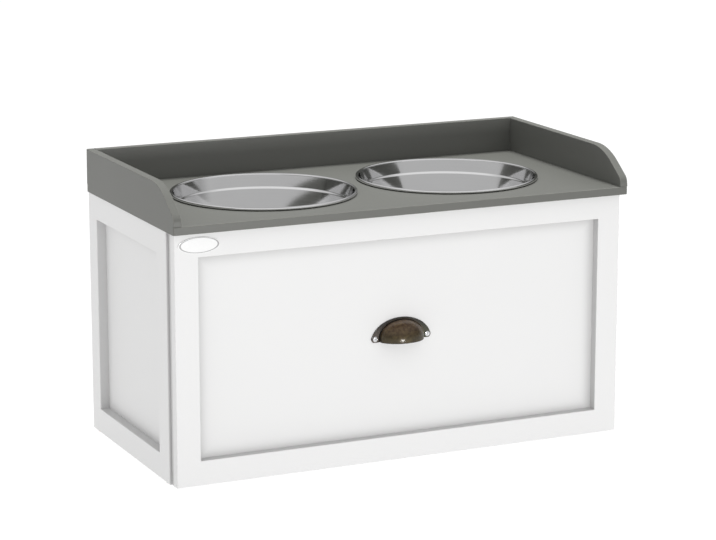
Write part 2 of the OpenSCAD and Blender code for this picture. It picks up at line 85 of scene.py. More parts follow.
class Shape:
    # points, faces and per-point values of one piece (arris wear, crease patina and painted shade), gathered
    # grid by grid
    def __init__(self):
        self.points = []
        self.wearAndShade = []
        self.faces = []
        self.count = 0

    def grid(self, points, wearAndShade=0.0):
        # adds a grid of rows by columns of points and gives back their numbers
        rows, columns = points.shape[:2]
        numbers = self.count + np.arange(rows * columns).reshape(rows, columns)
        self.points.append(points.reshape(-1, 3))
        self.wearAndShade.append(np.broadcast_to(wearAndShade, (rows, columns)).reshape(-1))
        self.faces += (self.count + gridFaces(rows, columns)).tolist()
        self.count += rows * columns
        return numbers

    def cap(self, *loops):
        # flat face inside the first loop, open inside the others
        if len(loops) == 1:
            self.faces.append(loops[0].tolist())
            return
        places = np.concatenate(self.points)
        numbers = np.concatenate(loops)
        triangles = tessellate_polygon([places[loop].tolist() for loop in loops])
        self.faces += numbers[np.array(triangles)].tolist()

    def filledCap(self, loop):
        # flat face inside a loop that may bend inwards
        triangles = tessellate_polygon([np.concatenate(self.points)[loop].tolist()])
        self.faces += loop[np.array(triangles)].tolist()


def addObject(name, data):
    # a new object at the origin, linked to the scene
    made = bpy.data.objects.new(name, data)
    bpy.context.scene.collection.objects.link(made)
    return made


def build(node, shape, finish, sharpAngle=35):
    # puts a shape's arrays into a mesh that stands for one node of the frame
    mesh = bpy.data.meshes.new(node + "_finished")
    places = np.concatenate(shape.points) * toMetres
    mesh.from_pydata(places.tolist(), [], shape.faces)
    # the per-point attribute holds arris wear where positive; where negative, painted shade in reveals, inner
    # corners and the pull's cup, and patina in the pull's creases
    wearAndShade = mesh.attributes.new("wearAndShade", "FLOAT", "POINT")
    wearAndShade.data.foreach_set("value", np.concatenate(shape.wearAndShade).astype(np.float32))
    work = bmesh.new()
    work.from_mesh(mesh)
    bmesh.ops.remove_doubles(work, verts=work.verts, dist=1e-6)
    bmesh.ops.recalc_face_normals(work, faces=work.faces)
    work.to_mesh(mesh)
    work.free()
    mesh.shade_smooth()
    mesh.set_sharp_from_angle(angle=radians(sharpAngle))
    mesh.materials.append(finish)
    piece = addObject(node + "_finished", mesh)
    piece.modifiers.new("even shading", "WEIGHTED_NORMAL").keep_sharp = True
    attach(piece, bodyOf[node])
    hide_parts(node)


def arcs(corners, before, after, radii, steps):
    # an arc for each corner between the normals before and after it: its centre lies
    # radius * (n1 + n2) / (1 + n1 . n2) from the corner, and its point at normal n radius * n further
    crossed = before[:, 0] * after[:, 1] - before[:, 1] * after[:, 0]
    dotted = np.sum(before * after, axis=1)
    share = np.linspace(0, 1, steps + 1)[None, :]
    start = np.arctan2(before[:, 1], before[:, 0])[:, None]
    angle = start + np.arctan2(crossed, dotted)[:, None] * share
    normals = np.stack([np.cos(angle), np.sin(angle)], axis=-1)
    bend = np.sign(crossed) * radii
    centres = corners - bend[:, None] * (before + after) / (1 + dotted)[:, None]
    points = centres[:, None] + bend[:, None, None] * normals
    arris = np.sin(pi * share) * (bend[:, None] > 0.3)
    return points.reshape(-1, 2), normals.reshape(-1, 2), arris.reshape(-1)


def filleted(corners, radii, steps=5):
    # points, normals and arris wear of a closed outline whose corners are arcs
    corners = np.asarray(corners, float)
    radii = np.broadcast_to(radii, len(corners)).astype(float)
    onward = np.roll(corners, -1, axis=0)
    if np.sum(corners[:, 0] * onward[:, 1] - corners[:, 1] * onward[:, 0]) < 0:
        corners, radii = corners[::-1], radii[::-1]
    after = unit(np.roll(corners, -1, axis=0) - corners)[:, ::-1] * (1, -1)
    return arcs(corners, np.roll(after, 1, axis=0), after, radii, steps)


def openBends(corners, radii, steps=12):
    # points and normals of an open path whose inner corners are arcs
    corners = np.asarray(corners, float)
    normals = unit(np.diff(corners, axis=0))[:, ::-1] * (1, -1)
    points, arcNormals = arcs(corners[1:-1], normals[:-1], normals[1:], radii, steps)[:2]
    return (np.concatenate([corners[:1], points, corners[-1:]]),
            np.concatenate([normals[:1], arcNormals, normals[-1:]]))


def rectangle(low, high, radius):
    corners = [low, (high[0], low[1]), high, (low[0], high[1])]
    return filleted(corners, radius)


def bentStrip(path, bend, thickness):
    # outline of a bent strip: both sides of its centre line, mitred at each bend and then rounded
    path = np.asarray(path, float)
    normals = unit(np.diff(path, axis=0))[:, ::-1] * (1, -1)
    before = np.concatenate([normals[:1], normals])
    after = np.concatenate([normals, normals[-1:]])
    shift = (before + after) / (1 + np.sum(before * after, axis=1))[:, None] * thickness / 2
    turn = before[:, 0] * after[:, 1] - before[:, 1] * after[:, 0]
    right = np.where(turn > 0.01, bend + thickness, np.where(turn < -0.01, bend, thickness / 5))
    left = np.where(turn > 0.01, bend, np.where(turn < -0.01, bend + thickness, thickness / 5))
    corners = np.concatenate([path + shift, (path - shift)[::-1]])
    return filleted(corners, np.concatenate([right, left[::-1]]))


# A board's outline is drawn in the two axes after its thickness: Y and Z for x, Z and X for y,
# X and Y for z. This order turns (first, second, thickness) back into X, Y and Z.
worldOrder = {"x": (2, 0, 1), "y": (1, 2, 0), "z": (0, 1, 2)}
boardOrder = {"x": (1, 2, 0), "y": (2, 0, 1), "z": (0, 1, 2)}


def slab(shape, axis, outline, low, high, easeLow=0.3, easeHigh=0.3, cuts=()):
    # rings round an outline from the low face to the high one: while t turns a quarter, the inset
    # is ease * (1 - sin t) and the level ease * (1 - cos t); flat caps leave the cuts open; an
    # outline's outer corners have radii no smaller than the ease
    edge, normals, arris = outline
    turn = np.linspace(0, pi / 2, 4)[:, None]
    easeLow = np.broadcast_to(easeLow, len(edge))[None, :]
    easeHigh = np.broadcast_to(easeHigh, len(edge))[None, :]
    inset = np.concatenate([easeLow * (1 - np.sin(turn)), easeHigh * (1 - np.sin(turn[::-1]))])
    level = np.concatenate([low + easeLow * (1 - np.cos(turn)),
                            high - easeHigh * (1 - np.cos(turn[::-1]))])
    worn = np.concatenate([np.minimum(easeLow, 1) * np.sin(2 * turn),
                           np.minimum(easeHigh, 1) * np.sin(2 * turn[::-1])])
    flat = edge - normals * inset[..., None]
    rings = np.concatenate([flat, level[..., None]], axis=-1)
    order = worldOrder[axis]
    walls = shape.grid(rings[..., order], np.maximum(worn, arris * (worn + 0.3)))
    caps = {0: [walls[0]], -1: [walls[-1]]}
    for cut in cuts:
        rows = shape.grid(cut[..., order])
        for end, face in ((0, low), (-1, high)):
            if abs(cut[end, 0, 2] - face) < 0.001:
                caps[end].append(rows[end])
            else:
                shape.cap(rows[end])
    for loops in caps.values():
        if len(loops) > 1:
            shape.cap(*loops)
        else:
            shape.filledCap(loops[0])


def angles(segments):
    return np.linspace(0, 2 * pi, segments, endpoint=False)[None, :]


def turned(radii, heights, segments=48):
    # rows of radius and height turned about Z; either may also vary with the angle
    values = [np.asarray(row, float) for row in (radii, heights)]
    radii, heights = (row[:, None] if row.ndim == 1 else row for row in values)
    theta = angles(segments)
    return np.stack(np.broadcast_arrays(radii * np.cos(theta), radii * np.sin(theta), heights), axis=-1)


def placed(points, origin, direction):
    # turns local Z to a direction, with X and Y beside it, and moves the points to an origin
    forward = np.asarray(direction, float)
    aside = np.array([0, 0, 1.0]) if abs(forward[2]) < 0.5 else np.array([1.0, 0, 0])
    return points @ np.stack([aside, np.cross(forward, aside), forward]) + np.asarray(origin, float)


def roundCut(centre, steps, segments=32):
    # circles of the given radii at the given levels, from the low one to the high one
    radii, levels = np.array(steps, float).T
    return turned(radii, levels, segments) + (*centre, 0)


def grooveCut(low, high, levels):
    edge = rectangle(low, high, 0.2)[0]
    return np.stack([np.insert(edge, 2, level, axis=1) for level in levels])


def board(node, axis, finish, corner=0.4, easeLow=0.3, easeHigh=0.3, cuts=()):
    # a flat board as large as its node's box
    low, high = boxOf(node)
    first, second, through = boardOrder[axis]
    outline = rectangle((low[first], low[second]), (high[first], high[second]), corner)
    shape = Shape()
    slab(shape, axis, outline, low[through], high[through], easeLow, easeHigh, cuts)
    build(node, shape, finish)


def turnedSection(shape, section, radii, origin, direction, segments=48):
    # a closed section of (radius, height) corners, rounded and turned about a direction
    edge = filleted(section, radii)[0]
    edge = np.concatenate([edge, edge[:1]])
    grid = turned(np.maximum(edge[:, 0], 0), edge[:, 1], segments)
    shape.grid(placed(grid, origin, direction))


def drum(shape, radius, low, high, eases, origin, direction, segments=48):
    # a solid cylinder between two heights, with rounded arrises
    section = [(0, low), (radius, low), (radius, high), (0, high)]
    turnedSection(shape, section, (0, *eases, 0), origin, direction, segments)


# Finishes


class Wire:
    # a node's output that takes arithmetic: each expression adds its Math nodes
    def __init__(self, finish, socket):
        self.finish = finish
        self.socket = socket

    def sum(self, operation, *values):
        return self.finish.add("ShaderNodeMath", {"operation": operation}, dict(enumerate(values)))

    def __add__(self, other):
        return self.sum("ADD", self, other)

    def __radd__(self, other):
        return self.sum("ADD", other, self)

    def __sub__(self, other):
        return self.sum("SUBTRACT", self, other)

    def __rsub__(self, other):
        return self.sum("SUBTRACT", other, self)

    def __mul__(self, other):
        return self.sum("MULTIPLY", self, other)

    def __rmul__(self, other):
        return self.sum("MULTIPLY", other, self)

    def __pow__(self, other):
        return self.sum("POWER", self, other)

    def size(self):
        # the value without its sign
        return self.sum("ABSOLUTE", self)

    def between(self, low, high):
        # 0 below low, 1 above high, and a smooth step from one to the other
        settings = {"interpolation_type": "SMOOTHSTEP"}
        return self.finish.add("ShaderNodeMapRange", settings, {0: self, 1: low, 2: high})


class Finish:
    # a material, or the world, whose nodes are all added by one method
    def __init__(self, name, kind="materials", place="Object"):
        self.material = getattr(bpy.data, kind).new(name)
        self.material.use_nodes = True
        self.nodes = self.material.node_tree.nodes
        self.links = self.material.node_tree.links
        self.nodes.clear()
        self.place = self.add("ShaderNodeTexCoord", {}, {}, place)

    def split(self, vector=None):
        # X, Y and Z of a vector
        first = self.add("ShaderNodeSeparateXYZ", {}, {0: vector or self.place})
        return [Wire(self, socket) for socket in first.socket.node.outputs]

    def add(self, kind, settings, inputs, output=0):
        # settings first, then the values or links of the sockets
        node = self.nodes.new(kind)
        for name, value in settings.items():
            setattr(node, name, value)
        for name, value in inputs.items():
            if isinstance(value, Wire):
                self.links.new(value.socket, node.inputs[name])
            else:
                node.inputs[name].default_value = value
        return Wire(self, node.outputs[output]) if len(node.outputs) else node

    def scaled(self, scale, location=(0, 0, 0)):
        inputs = {"Vector": self.place, "Location": location, "Scale": scale}
        return self.add("ShaderNodeMapping", {"vector_type": "POINT"}, inputs)

    def noise(self, scale, detail=2.0, vector=None):
        inputs = {"Vector": vector or self.place, "Scale": scale, "Detail": detail}
        return self.add("ShaderNodeTexNoise", {}, inputs)

    def mix(self, share, first, second):
        inputs = {0: share, 6: first, 7: second}
        return self.add("ShaderNodeMix", {"data_type": "RGBA"}, inputs, 2)

    def attribute(self, name):
        return self.add("ShaderNodeAttribute", {"attribute_name": name}, {}, "Fac")

    def bump(self, height, strength, distance):
        inputs = {"Height": height, "Strength": strength, "Distance": distance}
        return self.add("ShaderNodeBump", {}, inputs)

    def surface(self, **inputs):
        # the shader's sockets, with an underscore for each space in a socket's name
        sockets = {name.replace("_", " "): value for name, value in inputs.items()}
        shader = self.add("ShaderNodeBsdfPrincipled", {}, sockets)
        self.add("ShaderNodeOutputMaterial", {}, {"Surface": shader})
        return self.material


def grey(value, warmth=0.0):
    return (value * (1 + warmth), value, value * (1 - warmth), 1)


def darker(tone, share):
    # the tone with this share of its light
    return tuple(part * share for part in tone[:3]) + (1,)


def lacquerFinish(name, tone, worn, roughness, mottle, shade=0.0, opening=None, gap=None):
    # sprayed lacquer: faint cloudy tone, a fine orange peel and thinner paint at the arrises.
    # Painted shade darkens the inner corners, the reveals and a strip along the gap behind the drawer
    # front; on a framed panel the painted shade fades with the distance to the nearest edge of the
    # opening, the least of half - |place - centre| over its two axes
    finish = Finish(name)
    cloud = finish.noise(9.0, 3.0)
    speck = finish.noise(420.0, 2.0)
    wearAndShade = finish.attribute("wearAndShade")
    base = finish.mix(cloud * 0.7 + speck * 0.3, darker(tone, 1 - mottle), tone)
    rub = (wearAndShade * (0.35 + finish.noise(130.0, 4.0) * 0.9)).between(0.15, 0.95)
    colour = finish.mix(rub, base, worn)
    if shade:
        # painted shade on reveals and inner corners, where the per-point attribute is negative
        corner = (0.0 - wearAndShade).between(0.0, 1.0)
        if opening:
            # on a panel: painted shade that deepens towards the opening's edges
            place = finish.split()
            insets = [half - (place[axis] - centre).size() for axis, centre, half in opening]
            corner = (1 - insets[0].sum("MINIMUM", *insets).between(-0.002, 0.022)) ** 2.0
        if gap:
            # painted shade in a thin strip along the gap behind the drawer front
            gapShade = 1 - (finish.split()[1] - gap).size().between(0.0008, 0.0025)
            corner = corner.sum("MAXIMUM", corner, gapShade * 1.25)
        # the painted shade mixes the lacquer towards a dark grey
        colour = finish.mix(corner * shade, colour, grey(0.30, 0.01))
    peel = finish.noise(650.0, 1.0) * 0.8 + finish.noise(1900.0, 2.0) * 0.2
    gloss = roughness - 0.04 + cloud * 0.06 + speck * 0.05 - rub * 0.06
    return finish.surface(Base_Color=colour, Roughness=gloss, Specular_IOR_Level=0.3,
                          Normal=finish.bump(peel, 0.35, 0.00006))


def polishedFinish(name, tone, roughness, centres):
    # spun and polished sheet: faint rings round the nearer axis and thin wiping marks
    finish = Finish(name)
    across, onward = finish.split()[:2]
    offset = across.size() - centres
    reach = (offset ** 2.0 + onward ** 2.0) ** 0.5
    rings = finish.add("ShaderNodeTexNoise", {"noise_dimensions": "1D"},
                       {"W": reach, "Scale": 1400.0, "Detail": 3.0})
    smear = finish.noise(28.0, 4.0)
    colour = finish.mix(smear * 0.6 + rings * 0.4, darker(tone, 0.93), tone)
    gloss = roughness + rings * 0.04 + smear * 0.04
    return finish.surface(Base_Color=colour, Metallic=1.0, Roughness=gloss,
                          Normal=finish.bump(rings, 0.04, 0.00002))


bronzeTones = {"mouth": ((0.036, 0.026, 0.010, 1), (0.060, 0.044, 0.017, 1)),
               "crown": ((0.068, 0.034, 0.014, 1), (0.122, 0.076, 0.034, 1)),
               "plateLeft": ((0.036, 0.029, 0.025, 1), (0.120, 0.098, 0.084, 1)),
               "plateRight": ((0.040, 0.040, 0.024, 1), (0.062, 0.062, 0.038, 1)),
               "plateTop": (0.013, 0.011, 0.009, 1), "rubbed": (0.24, 0.165, 0.105, 1),
               "creaseAndShade": (0.005, 0.004, 0.003, 1)}


def bronzeFinish(name, plateFace, mouth, crown):
    # dark antique bronze: olive at the mouth and red brown at the crown, a speckled back plate
    # that turns from brown to olive across, black in the creases and rubbed brown on the arrises;
    # painted shade darkens the cup's lip and inside
    finish = Finish(name)
    patina = finish.noise(230.0, 4.0)
    fleck = finish.noise(1300.0, 2.0)
    wearAndShade = finish.attribute("wearAndShade")
    across, onward, upright = finish.split()
    lift = upright.between(mouth, crown)
    warm = [finish.mix(lift, *tones) for tones in zip(bronzeTones["mouth"], bronzeTones["crown"])]
    warm = finish.mix(patina.between(0.36, 0.66), *warm)
    aside = across.between(-0.01, 0.02)
    sheet = [finish.mix(aside, *tones) for tones in zip(bronzeTones["plateLeft"], bronzeTones["plateRight"])]
    sheet = finish.mix(fleck.between(0.42, 0.60), *sheet)
    sheet = finish.mix(lift * 0.85, sheet, bronzeTones["plateTop"])
    base = finish.mix(onward.between(plateFace - 0.0004, plateFace - 0.0001), warm, sheet)
    rub = (wearAndShade * (0.6 + fleck * 0.8)).between(0.2, 0.95)
    # negative attribute values mark patina in the creases and painted shade on the cup's lip and inside
    creaseAndShade = (0.0 - wearAndShade).between(0.05, 0.9)
    colour = finish.mix(rub * 0.8, base, bronzeTones["rubbed"])
    colour = finish.mix(creaseAndShade, colour, bronzeTones["creaseAndShade"])
    gloss = 0.42 + patina * 0.14 - rub * 0.08 + creaseAndShade * 0.3
    return finish.surface(Base_Color=colour, Metallic=0.85 - creaseAndShade * 0.6, Roughness=gloss,
                          Coat_Weight=0.6, Coat_Roughness=0.18,
                          Normal=finish.bump(finish.noise(230.0, 1.0), 0.16, 0.0001))


def zincFinish(name):
    # bright zinc plate with a fine crystal sparkle
    finish = Finish(name)
    cell = finish.add("ShaderNodeTexVoronoi", {}, {"Vector": finish.place, "Scale": 900.0}, "Distance")
    drift = finish.noise(160.0, 3.0)
    wearAndShade = finish.attribute("wearAndShade")
    colour = finish.mix(cell * 0.6 + drift * 0.5, (0.50, 0.51, 0.54, 1), (0.82, 0.82, 0.82, 1))
    gloss = 0.2 + drift * 0.14 - wearAndShade * 0.06
    return finish.surface(Base_Color=colour, Metallic=1.0, Roughness=gloss,
                          Normal=finish.bump(drift, 0.15, 0.00005))


def coatedFinish(name):
    # white powder coat on steel: a tight pebble and grey rub marks on the edges
    finish = Finish(name)
    pebble = finish.noise(2100.0, 2.0)
    drift = finish.noise(35.0, 3.0)
    rub = (finish.attribute("wearAndShade") * finish.noise(300.0, 3.0) * 1.6).between(0.3, 0.9)
    base = finish.mix(drift, grey(0.66, 0.01), grey(0.78, 0.01))
    colour = finish.mix(rub, base, grey(0.35, 0.01))
    return finish.surface(Base_Color=colour, Roughness=0.34 + drift * 0.1,
                          Normal=finish.bump(pebble, 0.3, 0.00005))


def mouldedFinish(name, tone, roughness, through):
    # moulded plastic: an even skin with a fine spark texture and slight flow marks
    finish = Finish(name)
    skin = finish.noise(1500.0, 2.0)
    flow = finish.noise(60.0, 3.0)
    colour = finish.mix(flow * 0.8 + skin * 0.2, darker(tone, 0.9), tone)
    return finish.surface(Base_Color=colour, Roughness=roughness + flow * 0.08,
                          Subsurface_Weight=through, Subsurface_Scale=0.002,
                          Normal=finish.bump(skin, 0.2, 0.00004))


def beechFinish(name):
    # turned beech: short dark flecks and fine grain drawn out along X
    finish = Finish(name)
    grain = finish.noise(1.0, 5.0, finish.scaled((25.0, 320.0, 320.0)))
    fleck = finish.noise(1.0, 2.0, finish.scaled((100.0, 1280.0, 1280.0)))
    colour = finish.mix(grain.between(0.3, 0.7), (0.44, 0.27, 0.13, 1), (0.68, 0.49, 0.28, 1))
    colour = finish.mix(fleck.between(0.62, 0.75) * 0.5, colour, (0.27, 0.15, 0.07, 1))
    return finish.surface(Base_Color=colour, Roughness=0.55 + grain * 0.15,
                          Normal=finish.bump(grain + fleck * 0.5, 0.3, 0.0001))


def badgeFinish(name, centre, halves):
    # glossy white plate with a grey line that follows its oval edge
    finish = Finish(name)
    inwards = finish.scaled((1 / halves[0], 1, 1 / halves[1]),
                            (-centre[0] / halves[0], 0, -centre[1] / halves[1]))
    across, upright = finish.split(inwards)[::2]
    reach = (across ** 2.0 + upright ** 2.0) ** 0.5
    line = reach.between(0.855, 0.875) * (1 - reach.between(0.935, 0.955))
    blotch = finish.noise(240.0, 3.0)
    ink = line * (0.8 + blotch * 0.2)
    sheet = finish.mix(blotch, grey(0.78), grey(0.82))
    colour = finish.mix(ink, sheet, grey(0.30))
    return finish.surface(Base_Color=colour, Roughness=0.14 + blotch * 0.05,
                          Normal=finish.bump(finish.noise(500.0), 0.08, 0.00005))


whiteTone, wornWhite = grey(0.725, 0.002), grey(0.70, 0.006)
greyTone, wornGrey = (0.134, 0.136, 0.125, 1), (0.185, 0.185, 0.170, 1)
# strength of the painted shade in the corners and reveals, on the front and on the sides
frontShade, sideShade = 0.42, 0.21
# the painted shade along the gap behind the drawer front is centred on this plane
gapBehindFront = (boxOf("drawer_front_panel")[1][1] + boxOf("left_side_panel")[0][1]) / 2 * toMetres


def whiteLacquer(name, shade, opening=None, gap=None):
    return lacquerFinish(name, whiteTone, wornWhite, 0.40, 0.012, shade, opening, gap)


# front and side copies of the white lacquer differ only in their painted shade
frontLacquer = whiteLacquer("front_lacquer_painted_shade", frontShade)
sideLacquer = whiteLacquer("side_lacquer_painted_shade", sideShade, gap=gapBehindFront)
insideLacquer = lacquerFinish("inside_lacquer", grey(0.74, 0.004), grey(0.66, 0.02), 0.50, 0.03)
greyLacquer = lacquerFinish("grey_lacquer", greyTone, wornGrey, 0.42, 0.06)
zinc = zincFinish("zinc_plate")
powderCoat = coatedFinish("white_powder_coat")
nylon = mouldedFinish("white_nylon", grey(0.78, 0.01), 0.38, 0.1)
clearPad = mouldedFinish("soft_clear_pad", grey(0.70, 0.015), 0.30, 0.3)
beech = beechFinish("beech_dowel")
print("finishes ready")


# Fastenings

screwSizes = {"head": 3.2, "headHeight": 1.6, "shank": 1.6, "sink": 1.6, "play": 0.1, "core": 0.76,
              "pitch": 1.3, "point": 3.5, "crown": 0.12, "recess": (0.5, 2.1, 0.9), "topLength": 30.0,
              "backLength": 14.0, "runnerLength": 10.0, "boxLength": 32.0, "frontLength": 15.5,
              "pullLength": 15.0}
dowelSizes = {"radius": 4.0, "thinRadius": 3.0, "across": 27.9, "upright": 27.8, "thin": 23.9,
              "flutes": 12, "flute": 0.22, "chamfer": 0.9, "taper": 1.0, "acrossOut": 3.0,
              "uprightDown": 14.0, "thinIn": 12.0}
camSizes = {"in": 22.0, "radius": 7.5, "depth": 10.0, "face": 4.5, "bolt": 31.0, "uprightBolt": 28.8,
            "boltRadius": 2.9, "thread": 9.5, "threadDepth": 0.6, "pitch": 1.4, "waistAt": 27.5,
            "waistDepth": 0.7, "waistHalf": 1.2, "boltOut": 9.0, "boltUp": 6.9, "ease": 0.5,
            "cross": (0.8, 3.6, 0.29)}
boreRadii = {"dowel": 4.1, "thinDowel": 3.1, "bolt": 3.1, "cam": 7.6, "screw": 1.7}


def placesAlong(node, axis, count, radius=screwSizes["head"], digits=1):
    # centres of equally spaced round pieces along one axis of the box that holds them
    low, high = boxOf(node)
    return np.round(np.linspace(low[axis] + radius, high[axis] - radius, count), digits)


def bore(centre, kind, levels, segments=32):
    # a straight hole for one kind of fitting between two levels
    return roundCut(centre, [(boreRadii[kind], level) for level in levels], segments)


def sunkCut(centre, low, high, atLow):
    # a screw's hole through a board, widened to a cone at one face
    head, shank = screwSizes["head"] + screwSizes["play"], screwSizes["shank"] + screwSizes["play"]
    sink = screwSizes["sink"]
    if atLow:
        return roundCut(centre, [(head, low), (shank, low + sink), (shank, high)], 24)
    return roundCut(centre, [(shank, low), (shank, high - sink), (head, high)], 24)


def dowel(shape, centre, direction, radius, length):
    # fluted rod: radius less a small wave round it, both ends chamfered
    flute = dowelSizes["flute"] * np.clip(np.cos(angles(60) * dowelSizes["flutes"]), 0, 1)
    narrow, taper = radius - dowelSizes["chamfer"], dowelSizes["taper"]
    ends = np.array([0, narrow, radius, radius, narrow, 0])[:, None]
    heights = np.array([0, 0, taper, length - taper, length, length]) - length / 2
    shape.grid(placed(turned(ends - flute * (ends > narrow), heights, 60), centre, direction))


def crossRecess(across, upright, half, reach, depth):
    # depth inside two crossed slots, sloping at their sides
    narrow = np.clip((half - np.minimum(abs(across), abs(upright))) / (0.5 * half), 0, 1)
    inside = np.clip((reach - np.maximum(abs(across), abs(upright))) / (0.3 * reach), 0, 1)
    return depth * narrow * inside


def thread(heights, theta, pitch):
    # 0 in the thread's valley and 1 on its crest, which climbs one pitch a turn
    return 1 - abs(2 * ((heights / pitch - theta / (2 * pi)) % 1) - 1)


def screw(shape, origin, direction, length, pan=False, sink=screwSizes["sink"]):
    # head: a shallow dome less a crossed recess; shank: core plus the thread's ridge; point: the
    # last stretch narrows to nothing
    head, crest, core = screwSizes["head"], screwSizes["shank"], screwSizes["core"]
    segments = 36
    theta = angles(segments)
    share = np.linspace(0, 1, 13)[:, None]
    across, upright = head * share * np.cos(theta), head * share * np.sin(theta)
    seat = 0.55 * screwSizes["headHeight"] if pan else 0.0
    crown = screwSizes["headHeight"] - seat if pan else screwSizes["crown"]
    dome = -seat - crown * (1 - share ** 3.2)
    dome = dome + crossRecess(across, upright, *screwSizes["recess"]) * (1 - share ** 8)
    shape.grid(placed(turned(np.broadcast_to(head * share, dome.shape), dome, segments),
                      origin, direction), share ** 6)
    start = 0.0 if pan else sink
    rows = int((length - start) / screwSizes["pitch"] * 5)
    heights = np.linspace(start, length, rows)[:, None]
    ridge = np.clip(thread(heights, theta, screwSizes["pitch"]) * 1.8 - 0.6, 0, 1)
    taper = np.clip((length - heights) / screwSizes["point"], 0, 1) ** 0.7
    radii = (core * crest + (1 - core) * crest * ridge) * taper
    radii[0] = crest
    underHead = [-seat, 0.0] if pan else [-seat]
    radii = np.concatenate([np.full((len(underHead), segments), head), radii])
    heights = np.concatenate([np.array(underHead)[:, None], heights])
    shape.grid(placed(turned(radii, heights, segments), origin, direction))


def camBolt():
    # a threaded end, a plain shank and a waisted tip that the disc grips
    length, segments = camSizes["bolt"], 32
    heights = np.linspace(0, length, 120)[:, None]
    valley = 1 - thread(heights, angles(segments), camSizes["pitch"])
    waist = np.clip(1 - abs(heights - camSizes["waistAt"]) / camSizes["waistHalf"], 0, 1)
    radii = (camSizes["boltRadius"] - camSizes["waistDepth"] * waist
             - camSizes["threadDepth"] * (heights < camSizes["thread"]) * valley)
    radii = radii * np.clip(np.minimum(heights + 0.01, length + 0.01 - heights) * 4, 0, 1)
    return turned(radii, heights, segments)


def camDisc(shape, origin, direction):
    # a drum with a low raised cross on its face, for the screwdriver
    drum(shape, camSizes["radius"], 0, camSizes["depth"], [camSizes["ease"]] * 2, origin, direction)
    face, share = camSizes["face"], np.linspace(0, 1, 12)[:, None]
    across, upright = face * share * np.cos(angles(48)), face * share * np.sin(angles(48))
    height = -0.05 - 0.25 * (1 - share ** 4) + crossRecess(across, upright, *camSizes["cross"])
    radii = np.broadcast_to(face * share, height.shape)
    shape.grid(placed(turned(radii, height, 48), origin, direction))
    shape.grid(placed(turned([face, face, 0], [-0.05, 0.2, 0.2], 48), origin, direction))


# Grey top

topSizes = {"frontEase": 1.0, "lowerEase": 0.3, "square": 0.02, "cutOutRadius": 111.4, "lip": 0.4,
            "screwIn": 5.0, "railScrews": (-210.0, -70.0, 70.0, 210.0), "dowelIn": 45.0, "boltIn": 75.0,
            "boreDepth": 7.0}
cheekSizes = {"fall": 72.0, "fallRadius": 80.0, "fallAngle": 36.0, "noseRadius": 12.0,
              "footRadius": 0.4, "backRadius": 1.2, "easeRise": 6.0, "screwsBehindFall": (17.0, 95.0),
              "lastScrewIn": 25.0}

topLow, topHigh = boxOf("top_board")
panelLow, panelHigh = boxOf("left_side_panel")
inner = -panelHigh[0]                                   # half the width between the sides
sideMiddle = -(panelHigh[0] + boxOf("left_side_front_stile")[0][0]) / 2
bowlCentres = [middleOf(name)[0] for name in ("left_bowl", "right_bowl")]
dowelPlaces = [panelLow[1] + topSizes["dowelIn"], panelHigh[1] - topSizes["dowelIn"]]
boltPlaces = [panelLow[1] + topSizes["boltIn"], panelHigh[1] - topSizes["boltIn"]]
cheekScrewPlaces = [topLow[1] + cheekSizes["fall"] + step for step in cheekSizes["screwsBehindFall"]]
cheekScrewPlaces.append(topHigh[1] - cheekSizes["lastScrewIn"])
topScrews = [(side * (topHigh[0] - topSizes["screwIn"]), y) for side in (-1, 1) for y in cheekScrewPlaces]
topScrews += [(x, topHigh[1] - topSizes["screwIn"]) for x in topSizes["railScrews"]]


def makeTopBoard():
    # rounded outline whose upper arris is eased at the front and square under the cheeks
    low, high = topLow[2], topHigh[2]
    corner = topSizes["frontEase"] + 0.2
    turnBack = topLow[1] + 3 * corner                       # where the sides' square arris begins
    corners = [topLow[:2], (topHigh[0], topLow[1]), (topHigh[0], turnBack), topHigh[:2],
               (topLow[0], topHigh[1]), (topLow[0], turnBack)]
    outline = filleted(corners, [corner, corner, 0, corner, corner, 0])
    atFront = outline[0][:, 1] < turnBack - 0.01
    lowerEase = np.where(atFront, topSizes["frontEase"], topSizes["lowerEase"])
    upperEase = np.where(atFront, topSizes["frontEase"], topSizes["square"])
    radius, lip = topSizes["cutOutRadius"], topSizes["lip"]
    cutOut = [(radius + lip, low), (radius, low + lip), (radius, high - lip), (radius + lip, high)]
    cuts = [roundCut((x, 0), cutOut, 128) for x in bowlCentres]
    cuts += [sunkCut(place, low, high, True) for place in topScrews]
    cuts += [bore((side * sideMiddle, y), kind, (low, low + topSizes["boreDepth"])) for side in (-1, 1)
             for kind, places in (("dowel", dowelPlaces), ("bolt", boltPlaces)) for y in places]
    shape = Shape()
    slab(shape, "z", outline, low, high, lowerEase, upperEase, cuts)
    build("top_board", shape, greyLacquer)


def makeCheek(node):
    # side outline: level top, a wide arc that starts the fall, a straight fall and a round nose
    low, high = boxOf(node)
    slope = tan(radians(cheekSizes["fallAngle"]))
    bendAt = cheekSizes["fall"] - cheekSizes["fallRadius"] * tan(radians(cheekSizes["fallAngle"] / 2))
    corners = [low[1:], (high[1], low[2]), high[1:], (low[1] + bendAt, high[2]),
               (low[1], high[2] - bendAt * slope)]
    radii = [cheekSizes[name + "Radius"] for name in ("foot", "foot", "back", "fall", "nose")]
    edge, normals, arris = filleted(corners, radii, 18)
    ease = np.clip((edge[:, 1] - low[2]) / cheekSizes["easeRise"], topSizes["square"], 1)
    ease = topSizes["frontEase"] * ease                     # square at the foot
    shape = Shape()
    slab(shape, "x", (edge, normals, arris * 0), low[0], high[0], ease, ease)
    build(node, shape, greyLacquer)


